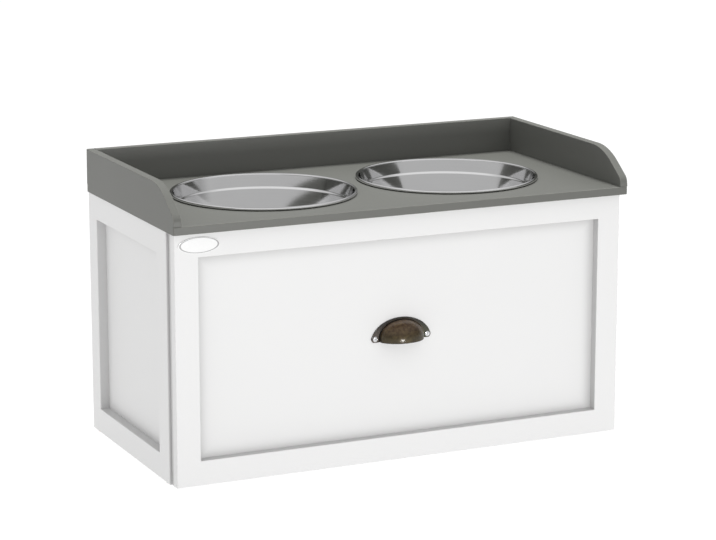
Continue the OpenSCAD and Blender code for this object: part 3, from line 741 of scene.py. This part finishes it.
def makeBackRail():
    # a section with rounded upper arrises, square where it meets the board and the cheeks
    low, high = boxOf("back_rail")
    soft, square = topSizes["frontEase"], topSizes["square"]
    section = [low[1:], (high[1], low[2]), high[1:], (low[1], high[2])]
    edge, normals, arris = filleted(section, [square, square, soft, soft])
    shape = Shape()
    slab(shape, "x", (edge, normals, arris * 3), low[0], high[0], square, square)
    build("back_rail", shape, greyLacquer)


def makeTopScrews():
    shape = Shape()
    for x, y in topScrews:
        screw(shape, (x, y, boxOf("rail_screws")[0][2]), (0, 0, 1), screwSizes["topLength"])
    build("rail_screws", shape, zinc)


makeTopBoard()
makeCheek("left_cheek")
makeCheek("right_cheek")
makeBackRail()
makeTopScrews()
print("top ready")


# Framed panels

# shadeBelow and the lower rail's share make the painted shade lighter along the lower rail
frameSizes = {"arris": 1.0, "frontStile": 30.0, "frontTop": 28.5, "frontBottom": 30.0,
              "sideFront": 33.0, "sideBack": 28.0, "sideRail": 31.0, "shadeBelow": 4.0,
              "lowerRevealShade": 0.75}


def frameMember(node, finish, corner, across, along, out, width, length, cuts, depth, revealShade=1.0):
    # a section with rounded front arrises carried along the member; each end is a mitre, so the
    # run starts at cut0 * u / width and stops at length - cut1 * u / width; the face towards the
    # panel gets painted shade, scaled by the last argument
    arrisRadius = frameSizes["arris"]
    section = [(0, 0), (width, 0), (width, depth), (0, depth)]
    edge, arris = filleted(section, [0, 0, arrisRadius, arrisRadius])[::2]
    share = edge[:, 0] / width
    runs = np.stack([cuts[0] * share, length - cuts[1] * share])
    points = corner + edge[None, :, :1] * across + edge[None, :, 1:] * out + runs[..., None] * along
    towardsPanel = (edge[:, 0] > width - 0.01) & (edge[:, 1] < depth - arrisRadius + 0.01)
    shape = Shape()
    # negative values paint shade on the reveal face towards the panel
    rows = shape.grid(points, (0.8 * arris - revealShade * towardsPanel)[None, :])
    shape.cap(rows[0])
    shape.cap(rows[1])
    build(node, shape, finish)


def makeFrame(names, finish, corner, right, out, width, height, borders, depth):
    # four mitred members round a rectangle that runs right and up from its lower corner; borders
    # holds the widths of the two stiles and of the lower and upper rails
    stiles, rails = borders
    corner, right, up, out = (np.asarray(part, float) for part in (corner, right, (0, 0, 1), out))
    frameMember(names[0], finish, corner, right, up, out, stiles[0], height, rails, depth)
    frameMember(names[1], finish, corner + right * width, -right, up, out, stiles[1], height, rails, depth)
    frameMember(names[2], finish, corner + up * height, -up, right, out, rails[1], width, stiles, depth)
    frameMember(names[3], finish, corner, up, right, out, rails[0], width, stiles, depth,
                frameSizes["lowerRevealShade"])


def panelLacquer(name, shade, axes, low, high, borders):
    # lacquer of a framed panel, with painted shade along the opening that its frame leaves: first axis then Z
    opening = []
    for axis, (before, after) in zip(axes, borders):
        edges = (low[axis] + before, high[axis] - after)
        opening.append((axis, sum(edges) / 2 * toMetres, (edges[1] - edges[0]) / 2 * toMetres))
    return whiteLacquer(name, shade, opening)


def makeSide(side, name):
    low, high = boxOf(name + "_side_panel")
    shelf, screwLevel = middleOf("bottom_board")[2], middleOf("cabinet_runner_screws")[2]
    bores = [((y, high[2] - camSizes["in"]), "cam") for y in boltPlaces]
    bores += [((y, shelf), "bolt") for y in boltPlaces]
    bores += [((y, shelf), "dowel") for y in dowelPlaces]
    bores += [((y, z), "thinDowel") for y in placesAlong("stretcher_dowels", 1, 2, dowelSizes["thinRadius"])
              for z in placesAlong("stretcher_dowels", 2, 2, dowelSizes["thinRadius"])[::-1]]
    bores += [((y, screwLevel), "screw") for y in placesAlong("cabinet_runner_screws", 1, 2)]
    cuts = [bore(place, kind, (low[0], high[0])) for place, kind in bores]
    eases = (0.05, 0.3) if side < 0 else (0.3, 0.05)
    borders = ((frameSizes["sideFront"], frameSizes["sideBack"]), (frameSizes["sideRail"],) * 2)
    finish = panelLacquer("side_panel_lacquer_painted_shade", sideShade, (1, 2), low, high, borders)
    board(name + "_side_panel", "x", finish, 0.3, *eases, cuts)
    stileLow, stileHigh = boxOf(name + "_side_front_stile")
    names = [name + "_side_" + part for part in ("front_stile", "back_stile", "top_rail", "bottom_rail")]
    makeFrame(names, sideLacquer, (low[0] if side < 0 else high[0], low[1], low[2]), (0, 1, 0),
              (side, 0, 0), high[1] - low[1], high[2] - low[2], borders, stileHigh[0] - stileLow[0])


makeSide(-1, "left")
makeSide(1, "right")
print("sides ready")


# Cabinet inside

padSizes = {"foot": 7.0, "footEase": 0.7, "bumper": 4.0, "bumperEase": 0.9}


def makeCabinetBoards():
    low, high = boxOf("bottom_board")
    camCuts = [bore((side * (inner - camSizes["in"]), y), "cam", (low[2], low[2] + camSizes["depth"]))
               for side in (-1, 1) for y in boltPlaces]
    board("bottom_board", "z", insideLacquer, 0.4, cuts=camCuts)
    board("front_stretcher", "y", insideLacquer)
    board("rear_stretcher", "y", insideLacquer)
    low, high = boxOf("back_panel")
    cuts, screws = [], Shape()
    for z in placesAlong("back_screws", 2, 2, digits=4):
        for x in placesAlong("back_screws", 0, 4):
            cuts.append(sunkCut((z, x), low[1], high[1], False))
            screw(screws, (x, high[1], z), (0, -1, 0), screwSizes["backLength"])
    board("back_panel", "y", insideLacquer, 0.3, cuts=cuts)
    build("back_screws", screws, zinc)


def makePads():
    # foot pads and bumpers: short drums with a soft rounded face
    radius, feet = padSizes["foot"], Shape()
    for x in placesAlong("foot_pads", 0, 2, radius, 4):
        for y in placesAlong("foot_pads", 1, 2, radius, 4):
            drum(feet, radius, 0, boxOf("foot_pads")[1][2], (padSizes["footEase"], 0.2), (x, y, 0), (0, 0, 1))
    build("foot_pads", feet, clearPad)
    radius, stops = padSizes["bumper"], Shape()
    low, high = boxOf("bumpers")
    for x in placesAlong("bumpers", 0, 2, radius, 4):
        for z in placesAlong("bumpers", 2, 2, radius, 4):
            drum(stops, radius, 0, high[1] - low[1], (0.1, padSizes["bumperEase"]), (x, high[1], z),
                 (0, -1, 0), 32)
    build("bumpers", stops, clearPad)


def makeDowels():
    low, high = boxOf("wood_dowels")
    radius, thin = dowelSizes["radius"], dowelSizes["thinRadius"]
    shape, thinShape = Shape(), Shape()
    for side in (-1, 1):
        for y in dowelPlaces:
            dowel(shape, (side * (inner + dowelSizes["acrossOut"]), y, low[2] + radius), (side, 0, 0),
                  radius, dowelSizes["across"])
            dowel(shape, (side * sideMiddle, y, high[2] - dowelSizes["uprightDown"]), (0, 0, 1),
                  radius, dowelSizes["upright"])
        for y in placesAlong("stretcher_dowels", 1, 2, thin, 4):
            for z in placesAlong("stretcher_dowels", 2, 2, thin, 4):
                x = boxOf("stretcher_dowels")[1][0] - dowelSizes["thinIn"]
                dowel(thinShape, (side * x, y, z), (side, 0, 0), thin, dowelSizes["thin"])
    build("wood_dowels", shape, beech)
    build("stretcher_dowels", thinShape, beech)


def makeCams():
    low, high = boxOf("cam_discs")
    level, shelf = high[2] - camSizes["radius"], middleOf("bottom_board")[2]
    rod, bolts, discs = camBolt(), Shape(), Shape()
    upright = rod * (1, 1, camSizes["uprightBolt"] / camSizes["bolt"])
    for side in (-1, 1):
        for y in boltPlaces:
            bolts.grid(placed(upright, (side * sideMiddle, y, topLow[2] + camSizes["boltUp"]), (0, 0, -1)))
            bolts.grid(placed(rod, (side * (inner + camSizes["boltOut"]), y, shelf), (-side, 0, 0)))
            camDisc(discs, (side * inner, y, level), (side, 0, 0))
            camDisc(discs, (side * (inner - camSizes["in"]), y, low[2]), (0, 0, 1))
    build("cam_bolts", bolts, zinc)
    build("cam_discs", discs, zinc)


makeCabinetBoards()
makePads()
makeDowels()
makeCams()
print("cabinet inside ready")


# Runners and rollers

runnerSizes = {"steel": 1.2, "bend": 0.8, "ease": 0.15, "lip": 4.0, "flange": 10.9, "gap": 12.5,
               "lipGap": 0.8, "pin": 2.0, "rivet": 3.4, "rivetHeight": 0.5, "stopWidth": 2.0,
               "stopHeight": 2.5, "travel": 190.0, "rollerGap": 0.3, "frontPinEnd": 10.4,
               "rearPinStart": 2.0}
rollerSizes = {"bore": 2.06, "hub": 3.9, "web": (4.3, 7.0), "rim": 7.4, "dish": 0.9}


def fromSide(side, depth):
    # X of a point this deep inside a cabinet side's inner face
    return side * (inner - depth)


def runnerStrip(shape, side, node, path):
    # bent steel strip along Y; its path is given by height and depth from the cabinet's side
    low, high = boxOf(node)
    outline = bentStrip([(z, fromSide(side, depth)) for z, depth in path], runnerSizes["bend"],
                        runnerSizes["steel"])
    slab(shape, "y", outline, low[1], high[1], runnerSizes["ease"], runnerSizes["ease"])


def rollerPin(shape, side, roller, pin, head, eases):
    # a roller's pin and its riveted head, each between two depths from the cabinet's side
    centre = middleOf(roller)
    place = ((fromSide(side, 0), centre[1], centre[2]), (-side, 0, 0), 32)
    drum(shape, runnerSizes["pin"], *pin, (0, 0), *place)
    drum(shape, runnerSizes["rivet"], *head, eases, *place)


def makeRunner(side, name):
    # channel fixed to the cabinet, with its stop
    steel, half, flange = runnerSizes["steel"], runnerSizes["steel"] / 2, runnerSizes["flange"]
    low, high = boxOf(name + "_cabinet_runner")
    shape = Shape()
    runnerStrip(shape, side, name + "_cabinet_runner",
                [(high[2] - half, runnerSizes["lip"]), (high[2] - half, half),
                 (low[2] + half, half), (low[2] + half, flange)])
    # the stop meets the rear roller at full travel, where its tread is as high as the stop
    rearLow, rearHigh = boxOf(name + "_rear_roller")
    radius, gap, tall = (rearHigh[1] - rearLow[1]) / 2, runnerSizes["rollerGap"], runnerSizes["stopHeight"]
    tread = np.sqrt(radius ** 2 - (radius + gap - tall) ** 2) + gap
    stopY, foot = rearLow[1] + radius - runnerSizes["travel"] - tread, low[2] + steel
    stop = rectangle((stopY - runnerSizes["stopWidth"], foot), (stopY, foot + tall), 0.3)
    slab(shape, "x", stop, *sorted((fromSide(side, steel), fromSide(side, flange))), 0.2, 0.2)
    pinEnd = runnerSizes["frontPinEnd"]
    rollerPin(shape, side, name + "_front_roller", (steel, pinEnd),
              (pinEnd, pinEnd + runnerSizes["rivetHeight"]), (0.05, 0.4))
    build(name + "_cabinet_runner", shape, powderCoat)


def makeDrawerRunner(side, name):
    # strip under and beside the drawer box
    half, gap = runnerSizes["steel"] / 2, runnerSizes["gap"]
    low, high = boxOf(name + "_drawer_runner")
    boxLow, boxHigh = boxOf("drawer_left_side")
    shape = Shape()
    runnerStrip(shape, side, name + "_drawer_runner",
                [(low[2] + half, gap + (boxHigh[0] - boxLow[0])), (low[2] + half, gap - half),
                 (high[2] - half, gap - half), (high[2] - half, runnerSizes["lip"] + runnerSizes["lipGap"])])
    pinStart = runnerSizes["rearPinStart"]
    rollerPin(shape, side, name + "_rear_roller", (pinStart, gap - runnerSizes["steel"]),
              (pinStart - runnerSizes["rivetHeight"], pinStart), (0.4, 0.05))
    build(name + "_drawer_runner", shape, powderCoat)


def makeRoller(node):
    # moulded wheel: hub, thin web on each face and a tread with rounded shoulders
    low, high = boxOf(node)
    width, radius = high[0] - low[0], (high[2] - low[2]) / 2
    webIn, webOut = rollerSizes["web"]
    near = [(rollerSizes["bore"], 0), (rollerSizes["hub"], 0), (webIn, rollerSizes["dish"]),
            (webOut, rollerSizes["dish"]), (rollerSizes["rim"], 0), (radius, 0)]
    far = [(out, width - level) for out, level in near[::-1]]
    radii = [0.2, 0.3, 0.3, 0.3, 0.3, 0.7]
    shape = Shape()
    origin = (low[0], *middleOf(node)[1:])
    turnedSection(shape, near + far, radii + radii[::-1], origin, (1, 0, 0), 72)
    build(node, shape, nylon)


def makeRunnerScrews():
    steel, gap = runnerSizes["steel"], runnerSizes["gap"]
    for node, count, depth, outwards in (("cabinet_runner_screws", 2, steel, 1),
                                         ("drawer_runner_screws", 3, gap - steel, -1)):
        shape, level = Shape(), middleOf(node)[2]
        for side in (-1, 1):
            for y in placesAlong(node, 1, count):
                screw(shape, (fromSide(side, depth), y, level), (outwards * side, 0, 0),
                      screwSizes["runnerLength"], sink=steel)
        build(node, shape, zinc)


for side, name in ((-1, "left"), (1, "right")):
    makeRunner(side, name)
    makeDrawerRunner(side, name)
    makeRoller(name + "_front_roller")
    makeRoller(name + "_rear_roller")
makeRunnerScrews()
print("runners ready")


# Drawer

drawerSizes = {"grooveDepth": 5.0, "grooveUp": 16.0, "grooveWidth": 4.2, "grooveIn": 0.5,
               "screwUp": (35.0, 90.0, 150.0), "frontScrewDepth": 3.6}

frontScrews = [(z, x) for x in placesAlong("drawer_front_screws", 0, 3)
               for z in placesAlong("drawer_front_screws", 2, 2)]


def makeDrawerBox():
    low, high = boxOf("drawer_left_side")
    thick, deep = high[0] - low[0], drawerSizes["grooveDepth"]
    corners = [(y, low[2] + up) for y in (low[1] + thick / 2, high[1] - thick / 2)
               for up in drawerSizes["screwUp"]]
    grooveLow = low[2] + drawerSizes["grooveUp"]
    grooveHigh = grooveLow + drawerSizes["grooveWidth"]
    screws = Shape()
    for side, name in ((-1, "drawer_left_side"), (1, "drawer_right_side")):
        sideLow, sideHigh = boxOf(name)
        faces = (sideLow[0], sideHigh[0])
        cuts = [sunkCut(place, *faces, side < 0) for place in corners]
        levels = (faces[1] - deep, faces[1]) if side < 0 else (faces[0], faces[0] + deep)
        cuts.append(grooveCut((low[1] + thick - deep, grooveLow), (high[1] - thick + deep, grooveHigh),
                              levels))
        board(name, "x", insideLacquer, 0.5, 0.4, 0.4, cuts)
        for y, z in corners:
            screw(screws, (side * -low[0], y, z), (-side, 0, 0), screwSizes["boxLength"])
    build("drawer_box_screws", screws, zinc)
    innerLow, innerHigh = boxOf("drawer_inner_front")
    edge = innerHigh[0] - drawerSizes["grooveIn"]
    cuts = [bore(place, "screw", (innerLow[1], innerHigh[1]), 24) for place in frontScrews]
    cuts.append(grooveCut((grooveLow, -edge), (grooveHigh, edge), (innerHigh[1] - deep, innerHigh[1])))
    board("drawer_inner_front", "y", insideLacquer, 0.5, 0.1, 0.4, cuts)
    back = boxOf("drawer_back")[0][1]
    cuts = [grooveCut((grooveLow, -edge), (grooveHigh, edge), (back, back + deep))]
    board("drawer_back", "y", insideLacquer, 0.5, 0.4, 0.4, cuts)
    board("drawer_bottom", "z", insideLacquer, 0.3, 0.2, 0.2)
    screws = Shape()
    for z, x in frontScrews:
        screw(screws, (x, innerHigh[1], z), (0, -1, 0), screwSizes["frontLength"], pan=True)
    build("drawer_front_screws", screws, zinc)


def makeDrawerFront():
    low, high = boxOf("drawer_front_panel")
    pullZ = middleOf("pull_screws")[2]
    cuts = [bore((pullZ, x), "screw", (low[1], high[1]), 24) for x in placesAlong("pull_screws", 0, 2)]
    cuts += [bore(place, "screw", (high[1] - drawerSizes["frontScrewDepth"], high[1]), 24)
             for place in frontScrews]
    stiles, rails = (frameSizes["frontStile"],) * 2, (frameSizes["frontBottom"], frameSizes["frontTop"])
    # the painted shade's lower edge sits shadeBelow lower, so it is lighter along the lower rail
    below = rails[0] - frameSizes["shadeBelow"]             # a thinner shade over the lower rail
    finish = panelLacquer("front_panel_lacquer_painted_shade", frontShade, (0, 2), low, high,
                          (stiles, (below, rails[1])))
    board("drawer_front_panel", "y", finish, 0.3, 0.05, 0.3, cuts)
    stileLow, stileHigh = boxOf("drawer_front_left_stile")
    names = ["drawer_front_" + part for part in ("left_stile", "right_stile", "top_rail", "bottom_rail")]
    makeFrame(names, frontLacquer, low, (1, 0, 0), (0, -1, 0), high[0] - low[0], high[2] - low[2],
              (stiles, rails), stileHigh[1] - stileLow[1])


makeDrawerBox()
makeDrawerFront()
print("drawer ready")


# Cup pull

pullSizes = {"cupHalf": 29.0, "cupOut": 22.0, "metal": 1.6, "ear": 5.0, "band": 3.0, "groove": 0.5,
             "edge": 0.7, "ring": 0.5, "ringAt": 0.30, "ringSpread": 0.10, "creaseWidth": 2.6}


def evenly(path, count=161):
    # points at equal steps along an open path
    run = np.concatenate([[0], np.cumsum(np.linalg.norm(np.diff(path, axis=0), axis=1))])
    even = np.linspace(0, run[-1], count)
    return np.stack([np.interp(even, run, path[:, 0]), np.interp(even, run, path[:, 1])], axis=-1)


def ovalArc(half, tall, start, lift=0.0):
    # from the right to the left end of half an oval, as (x, up)
    theta = np.linspace(start, pi - start, 120)
    return np.stack([half * np.cos(theta), lift + tall * np.sin(theta)], axis=-1)


def archPath(half, rise, skirt):
    # from the right foot up the skirt, round half an oval and down to the left foot
    return evenly(np.concatenate([[[half, 0.0]], ovalArc(half, rise, 0, skirt), [[-half, 0.0]]]))


def pullPlate(shape, half, rise, skirt, reach, tall, earUp):
    # along the arch (first parameter) a section is carried from the cup's base line to the outer
    # edge (second parameter): a groove, a flat and a rounded edge
    metal, ear, groove, edge = (pullSizes[name] for name in ("metal", "ear", "groove", "edge"))
    turn = np.linspace(-np.arcsin(earUp / ear), radians(8), 16)
    earSide = np.stack([reach - ear + ear * np.cos(turn), earUp + ear * np.sin(turn)], axis=-1)
    oval = ovalArc(reach, tall, np.arcsin((earUp + 2.0) / tall))
    outer = evenly(np.concatenate([earSide, oval, earSide[::-1] * (-1, 1)]))
    for smoothing in range(4):
        outer[1:-1] = (outer[:-2] + 2 * outer[1:-1] + outer[2:]) / 4
    base, inside = archPath(half, rise, skirt), archPath(half - metal + 0.1, rise - metal + 0.1, skirt)
    width = np.linalg.norm(outer - base, axis=-1)[:, None]
    outwards = (outer - base)[:, None, :] / width[..., None]
    quarter = np.linspace(0, pi / 2, 5)
    near = np.array([-0.4, 0.0, 0.4, 0.7, 1.0, 1.8])
    nearLevel = metal - np.array([groove, groove, groove, groove * 0.8, 0.1, 0.0])
    nearWear = np.array([-1, -1, -1, -0.8, 0.9, 0.0])
    steps = np.concatenate([near + 0 * width, width - edge * (1 - np.sin(quarter)), width], axis=1)
    flat = base[:, None, :] + outwards * steps[..., None]
    flat = np.concatenate([inside[:, None, :], inside[:, None, :], flat], axis=1)
    level = np.concatenate([[0.05, metal - groove], nearLevel, metal - edge * (1 - np.cos(quarter)), [0.05]])
    wearAndShade = np.concatenate([[-1, -1], nearWear, -0.55 * np.sin(quarter), [-0.8]])
    out = np.broadcast_to(level - metal, flat.shape[:2])
    rows = shape.grid(np.stack([flat[..., 0], out, flat[..., 1]], axis=-1), wearAndShade[None, :])
    shape.filledCap(rows[0])
    shape.filledCap(rows[-1])


def pullCup(shape, half, rise, skirt):
    # at arch t and turn s, x = a cos t, out = b sin t sin s, up = (skirt + b sin t) cos s; then a
    # rounded lip and the same surface inside, one metal thickness smaller
    metal, lipRadius = pullSizes["metal"], pullSizes["metal"] / 2
    arch = np.linspace(0, pi, 97)[:, None]
    turn = np.linspace(0, pi / 2, 40)[None, :]
    lip = np.linspace(0, pi, 9)[None, :]

    def shell(a, b, turnShare):
        x = a * np.cos(arch) + 0 * turnShare
        out = b * np.sin(arch) * np.sin(turnShare)
        up = lipRadius + (skirt - lipRadius + b * np.sin(arch)) * np.cos(turnShare)
        return np.stack([x, out, up], axis=-1)

    sunk = (0, -pullSizes["groove"] - 0.2, 0)
    ring = np.exp(-((turn - pullSizes["ringAt"]) / pullSizes["ringSpread"]) ** 2)
    bulge = pullSizes["ring"] * ring * np.sin(arch) ** 2
    outside = shell(half, rise, turn)
    outside[..., 1] -= bulge * np.sin(turn)
    outside[..., 2] -= bulge * np.cos(turn)
    middle = shell(half - lipRadius, rise - lipRadius, pi / 2 + 0 * lip)
    aside = np.concatenate([np.cos(arch), np.sin(arch)], axis=-1)[:, None, :]
    roll = np.concatenate([aside * np.cos(lip)[..., None],
                           -np.sin(lip)[..., None] + 0 * aside[..., :1]], axis=-1)
    inside = shell(half - metal, rise - metal, turn)[:, ::-1]
    around = np.concatenate([outside[:, :1] + sunk, outside, middle + lipRadius * roll,
                             inside, inside[:, -1:] + sunk], axis=1)
    fromPlate = rise * np.sin(arch) * turn
    # the crease by the plate is dark patina; the skirt near the mouth, the lip and the cup's inside are
    # darkened as painted shade
    outerWearAndShade = np.clip(fromPlate / pullSizes["creaseWidth"] - 1, -1, 0) + 0.5 * ring - 0.2 * (turn > 1.45)
    wearAndShade = [0 * arch - 1, outerWearAndShade, np.linspace(-0.4, -0.8, 9) + 0 * arch, np.full(41, -0.5) + 0 * arch]
    rows = shape.grid(around, np.concatenate(wearAndShade, axis=1))
    shape.filledCap(rows[0])
    shape.filledCap(rows[-1])


def makePull():
    low, high = boxOf("cup_pull")
    metal, half, earZ = pullSizes["metal"], pullSizes["cupHalf"], middleOf("pull_screws")[2]
    plateY, mouthZ = high[1] - metal, low[2]
    rise = pullSizes["cupOut"] - metal
    skirt = high[2] - mouthZ - pullSizes["band"] - rise
    shape, screws = Shape(), Shape()
    pullCup(shape, half, rise, skirt)
    pullPlate(shape, half, rise, skirt, high[0], high[2] - mouthZ, earZ - mouthZ)
    shape.points = [points * (1, -1, 1) + (0, plateY, mouthZ) for points in shape.points]
    bronze = bronzeFinish("antique_bronze_patina", plateY * toMetres, (mouthZ + 4) * toMetres,
                          (high[2] - 6) * toMetres)
    build("cup_pull", shape, bronze, 50)
    for x in placesAlong("pull_screws", 0, 2):
        screw(screws, (x, plateY, earZ), (0, 1, 0), screwSizes["pullLength"], pan=True)
    build("pull_screws", screws, zinc)


def makeOvalPlate():
    # blank oval plate with a soft edge
    low, high = boxOf("oval_plate")
    centre, halves, theta = (low + high) / 2, (high - low) / 2, angles(128)[0]
    edge = np.stack([centre[2] + halves[2] * np.cos(theta), centre[0] + halves[0] * np.sin(theta)], -1)
    normals = unit(np.stack([np.cos(theta) / halves[2], np.sin(theta) / halves[0]], axis=-1))
    shape = Shape()
    slab(shape, "y", (edge, normals, 0 * theta), low[1], high[1], 0.45, 0.05)
    finish = badgeFinish("glossy_oval_plate", centre[[0, 2]] * toMetres, halves[[0, 2]] * toMetres)
    build("oval_plate", shape, finish)


makePull()
makeOvalPlate()
print("pull ready")


# Bowls

bowlSizes = {"seatRadius": 110.6, "sheet": 0.8, "bead": 2.1, "wallSlope": 14.0, "depth": 58.0,
             "collarSlope": 12.0, "collarOut": 0.4, "shoulderDown": 12.5, "shoulderDrop": 2.0, "crown": 62.0,
             "crownEnd": 66.0, "crownRise": 0.9, "bends": (6.0, 6.0, 24.0, 3.0, 3.0), "beadTurn": 308.0}


def makeBowl(node, finish):
    # section of one sheet: crowned base, foot arc, sloping wall, small shoulder, upright collar
    # and a rolled bead, turned about the bowl's axis
    seat, sheet, bead = topHigh[2], bowlSizes["sheet"], bowlSizes["bead"]
    rimZ = boxOf(node)[1][2] - seat - bead
    slope, upper = tan(radians(bowlSizes["wallSlope"])), tan(radians(bowlSizes["collarSlope"]))
    base = -bowlSizes["depth"] + sheet / 2
    middle = bowlSizes["seatRadius"] - sheet / 2 / np.cos(radians(bowlSizes["wallSlope"]))
    shoulder = bowlSizes["shoulderDown"]
    foot = middle + slope * base
    wallTop = -shoulder - bowlSizes["shoulderDrop"]
    collar = middle + bowlSizes["collarOut"]
    crown = base + bowlSizes["crownRise"]
    corners = [(0.0, crown), (bowlSizes["crown"], crown), (bowlSizes["crownEnd"], base), (foot, base),
               (middle + slope * wallTop, wallTop), (collar - upper * shoulder, -shoulder),
               (collar + upper * rimZ, rimZ)]
    path, normals = openBends(corners, bowlSizes["bends"])
    insideFace = path - normals * sheet / 2
    outsideFace = path + normals * sheet / 2
    rimRadius = insideFace[-1, 0]
    sweep = np.linspace(pi, pi - radians(bowlSizes["beadTurn"]), 60)[:, None]
    beadArc = np.concatenate([rimRadius + bead + bead * np.cos(sweep), rimZ + bead * np.sin(sweep)], -1)
    section = np.concatenate([insideFace[:-1], beadArc, outsideFace[::-1][1:]])
    section[[0, -1], 0] = 0
    shape = Shape()
    shape.grid(turned(section[:, 0], section[:, 1], 192) + (middleOf(node)[0], 0, seat))
    build(node, shape, finish, 60)


polishedSteel = polishedFinish("polished_steel", (0.84, 0.84, 0.845, 1), 0.05,
                               abs(bowlCentres[0]) * toMetres)
makeBowl("left_bowl", polishedSteel)
makeBowl("right_bowl", polishedSteel)
print("bowls ready")


# Studio

studio = {"around": 0.28, "ahead": 0.22, "aheadRange": (-0.1, 0.25), "overhead": 0.35,
          "overheadStart": (0.35, 0.55), "overheadEnd": (0.85, 0.97), "horizonGlow": 0.6,
          "horizonRange": (0.02, 0.14), "floorRings": (0, 1, 4, 10, 22), "floorDrop": 0.05,
          "floorTone": 0.08, "floorGlow": 0.97}
lamps = {"top_panel": ((0.6, 0.8, 4.4), (0.0, 0.05, 0.3), (1.4, 1.4), 248.0),
         "front_panel": ((0.12, -1.8, 0.10), (0.0, -0.14, 0.155), (0.3, 0.14), 9.0),
         "left_strip": ((-3.0, 0.4, 0.16), (-0.3, 0.0, 0.16), (1.0, 0.2), 9.0),
         "right_strip": ((3.0, 0.4, 0.16), (0.3, 0.0, 0.16), (1.0, 0.2), 9.0),
         "back_strip": ((0.0, 3.0, 0.16), (0.0, 0.15, 0.16), (1.0, 0.2), 5.0)}
viewpoint = {"place": (-1.32966, -2.87054, 0.91691), "pitch": 12.6142, "yaw": 24.8895, "lens": 130.39,
             "sensor": 36.0}


def makeFloor():
    # a wide disc: rings of growing radius round the object
    radii = np.array(studio["floorRings"]) / toMetres
    grid = turned(radii, 0 * radii - studio["floorDrop"], 96)
    mesh = bpy.data.meshes.new("studio_floor")
    faces = gridFaces(*grid.shape[:2])
    mesh.from_pydata((grid.reshape(-1, 3) * toMetres).tolist(), [], faces.tolist())
    work = bmesh.new()
    work.from_mesh(mesh)
    bmesh.ops.remove_doubles(work, verts=work.verts, dist=1e-6)
    work.to_mesh(mesh)
    work.free()
    finish = Finish("studio_paper")
    tone = finish.noise(3.0)
    colour = finish.mix(tone, grey(studio["floorTone"] - 0.01), grey(studio["floorTone"]))
    mesh.materials.append(finish.surface(Base_Color=colour, Roughness=0.9, Specular_IOR_Level=0.0,
                                         Emission_Color=grey(1.0),
                                         Emission_Strength=studio["floorGlow"]))
    floor = addObject("studio_floor", mesh)


def softLight(name, place, aim, size, power):
    # a rectangular panel of light that faces a point
    data = bpy.data.lights.new(name, "AREA")
    data.shape = "RECTANGLE"
    data.size, data.size_y = size
    data.energy = power
    light = addObject(name, data)
    light.location = place
    light.rotation_euler = (Vector(aim) - Vector(place)).to_track_quat("-Z", "Y").to_euler()
    light.visible_camera = False
    light.visible_glossy = "top" not in name             # bright sheets would burn out on the rims


def makeWorld():
    # soft surroundings: brighter ahead of the object, more so overhead, with a glow at the horizon
    world = Finish("studio_world", "worlds", "Generated")
    across, onward, upright = world.split()
    ahead = (across * -0.4 - onward * 0.9).between(*studio["aheadRange"])
    overhead = upright.between(*studio["overheadStart"]) * (1 - upright.between(*studio["overheadEnd"]))
    glow = 1 - upright.between(*studio["horizonRange"])
    strength = (studio["around"] + ahead * studio["ahead"] + overhead * studio["overhead"]
                + glow * studio["horizonGlow"])
    background = world.add("ShaderNodeBackground", {}, {"Color": grey(1.0), "Strength": strength})
    world.add("ShaderNodeOutputWorld", {}, {"Surface": background})
    bpy.context.scene.world = world.material


def makeCamera():
    data = bpy.data.cameras.new("camera")
    data.sensor_width = viewpoint["sensor"]
    data.lens = viewpoint["lens"]
    data.clip_end = 100
    camera = addObject("camera", data)
    camera.location = viewpoint["place"]
    camera.rotation_euler = (radians(90 - viewpoint["pitch"]), 0, -radians(viewpoint["yaw"]))
    bpy.context.scene.camera = camera


makeFloor()
makeWorld()
for name, (place, aim, size, power) in lamps.items():
    softLight(name, place, aim, size, power)
makeCamera()
bpy.context.scene.view_settings.view_transform = "Standard"
print("studio ready")
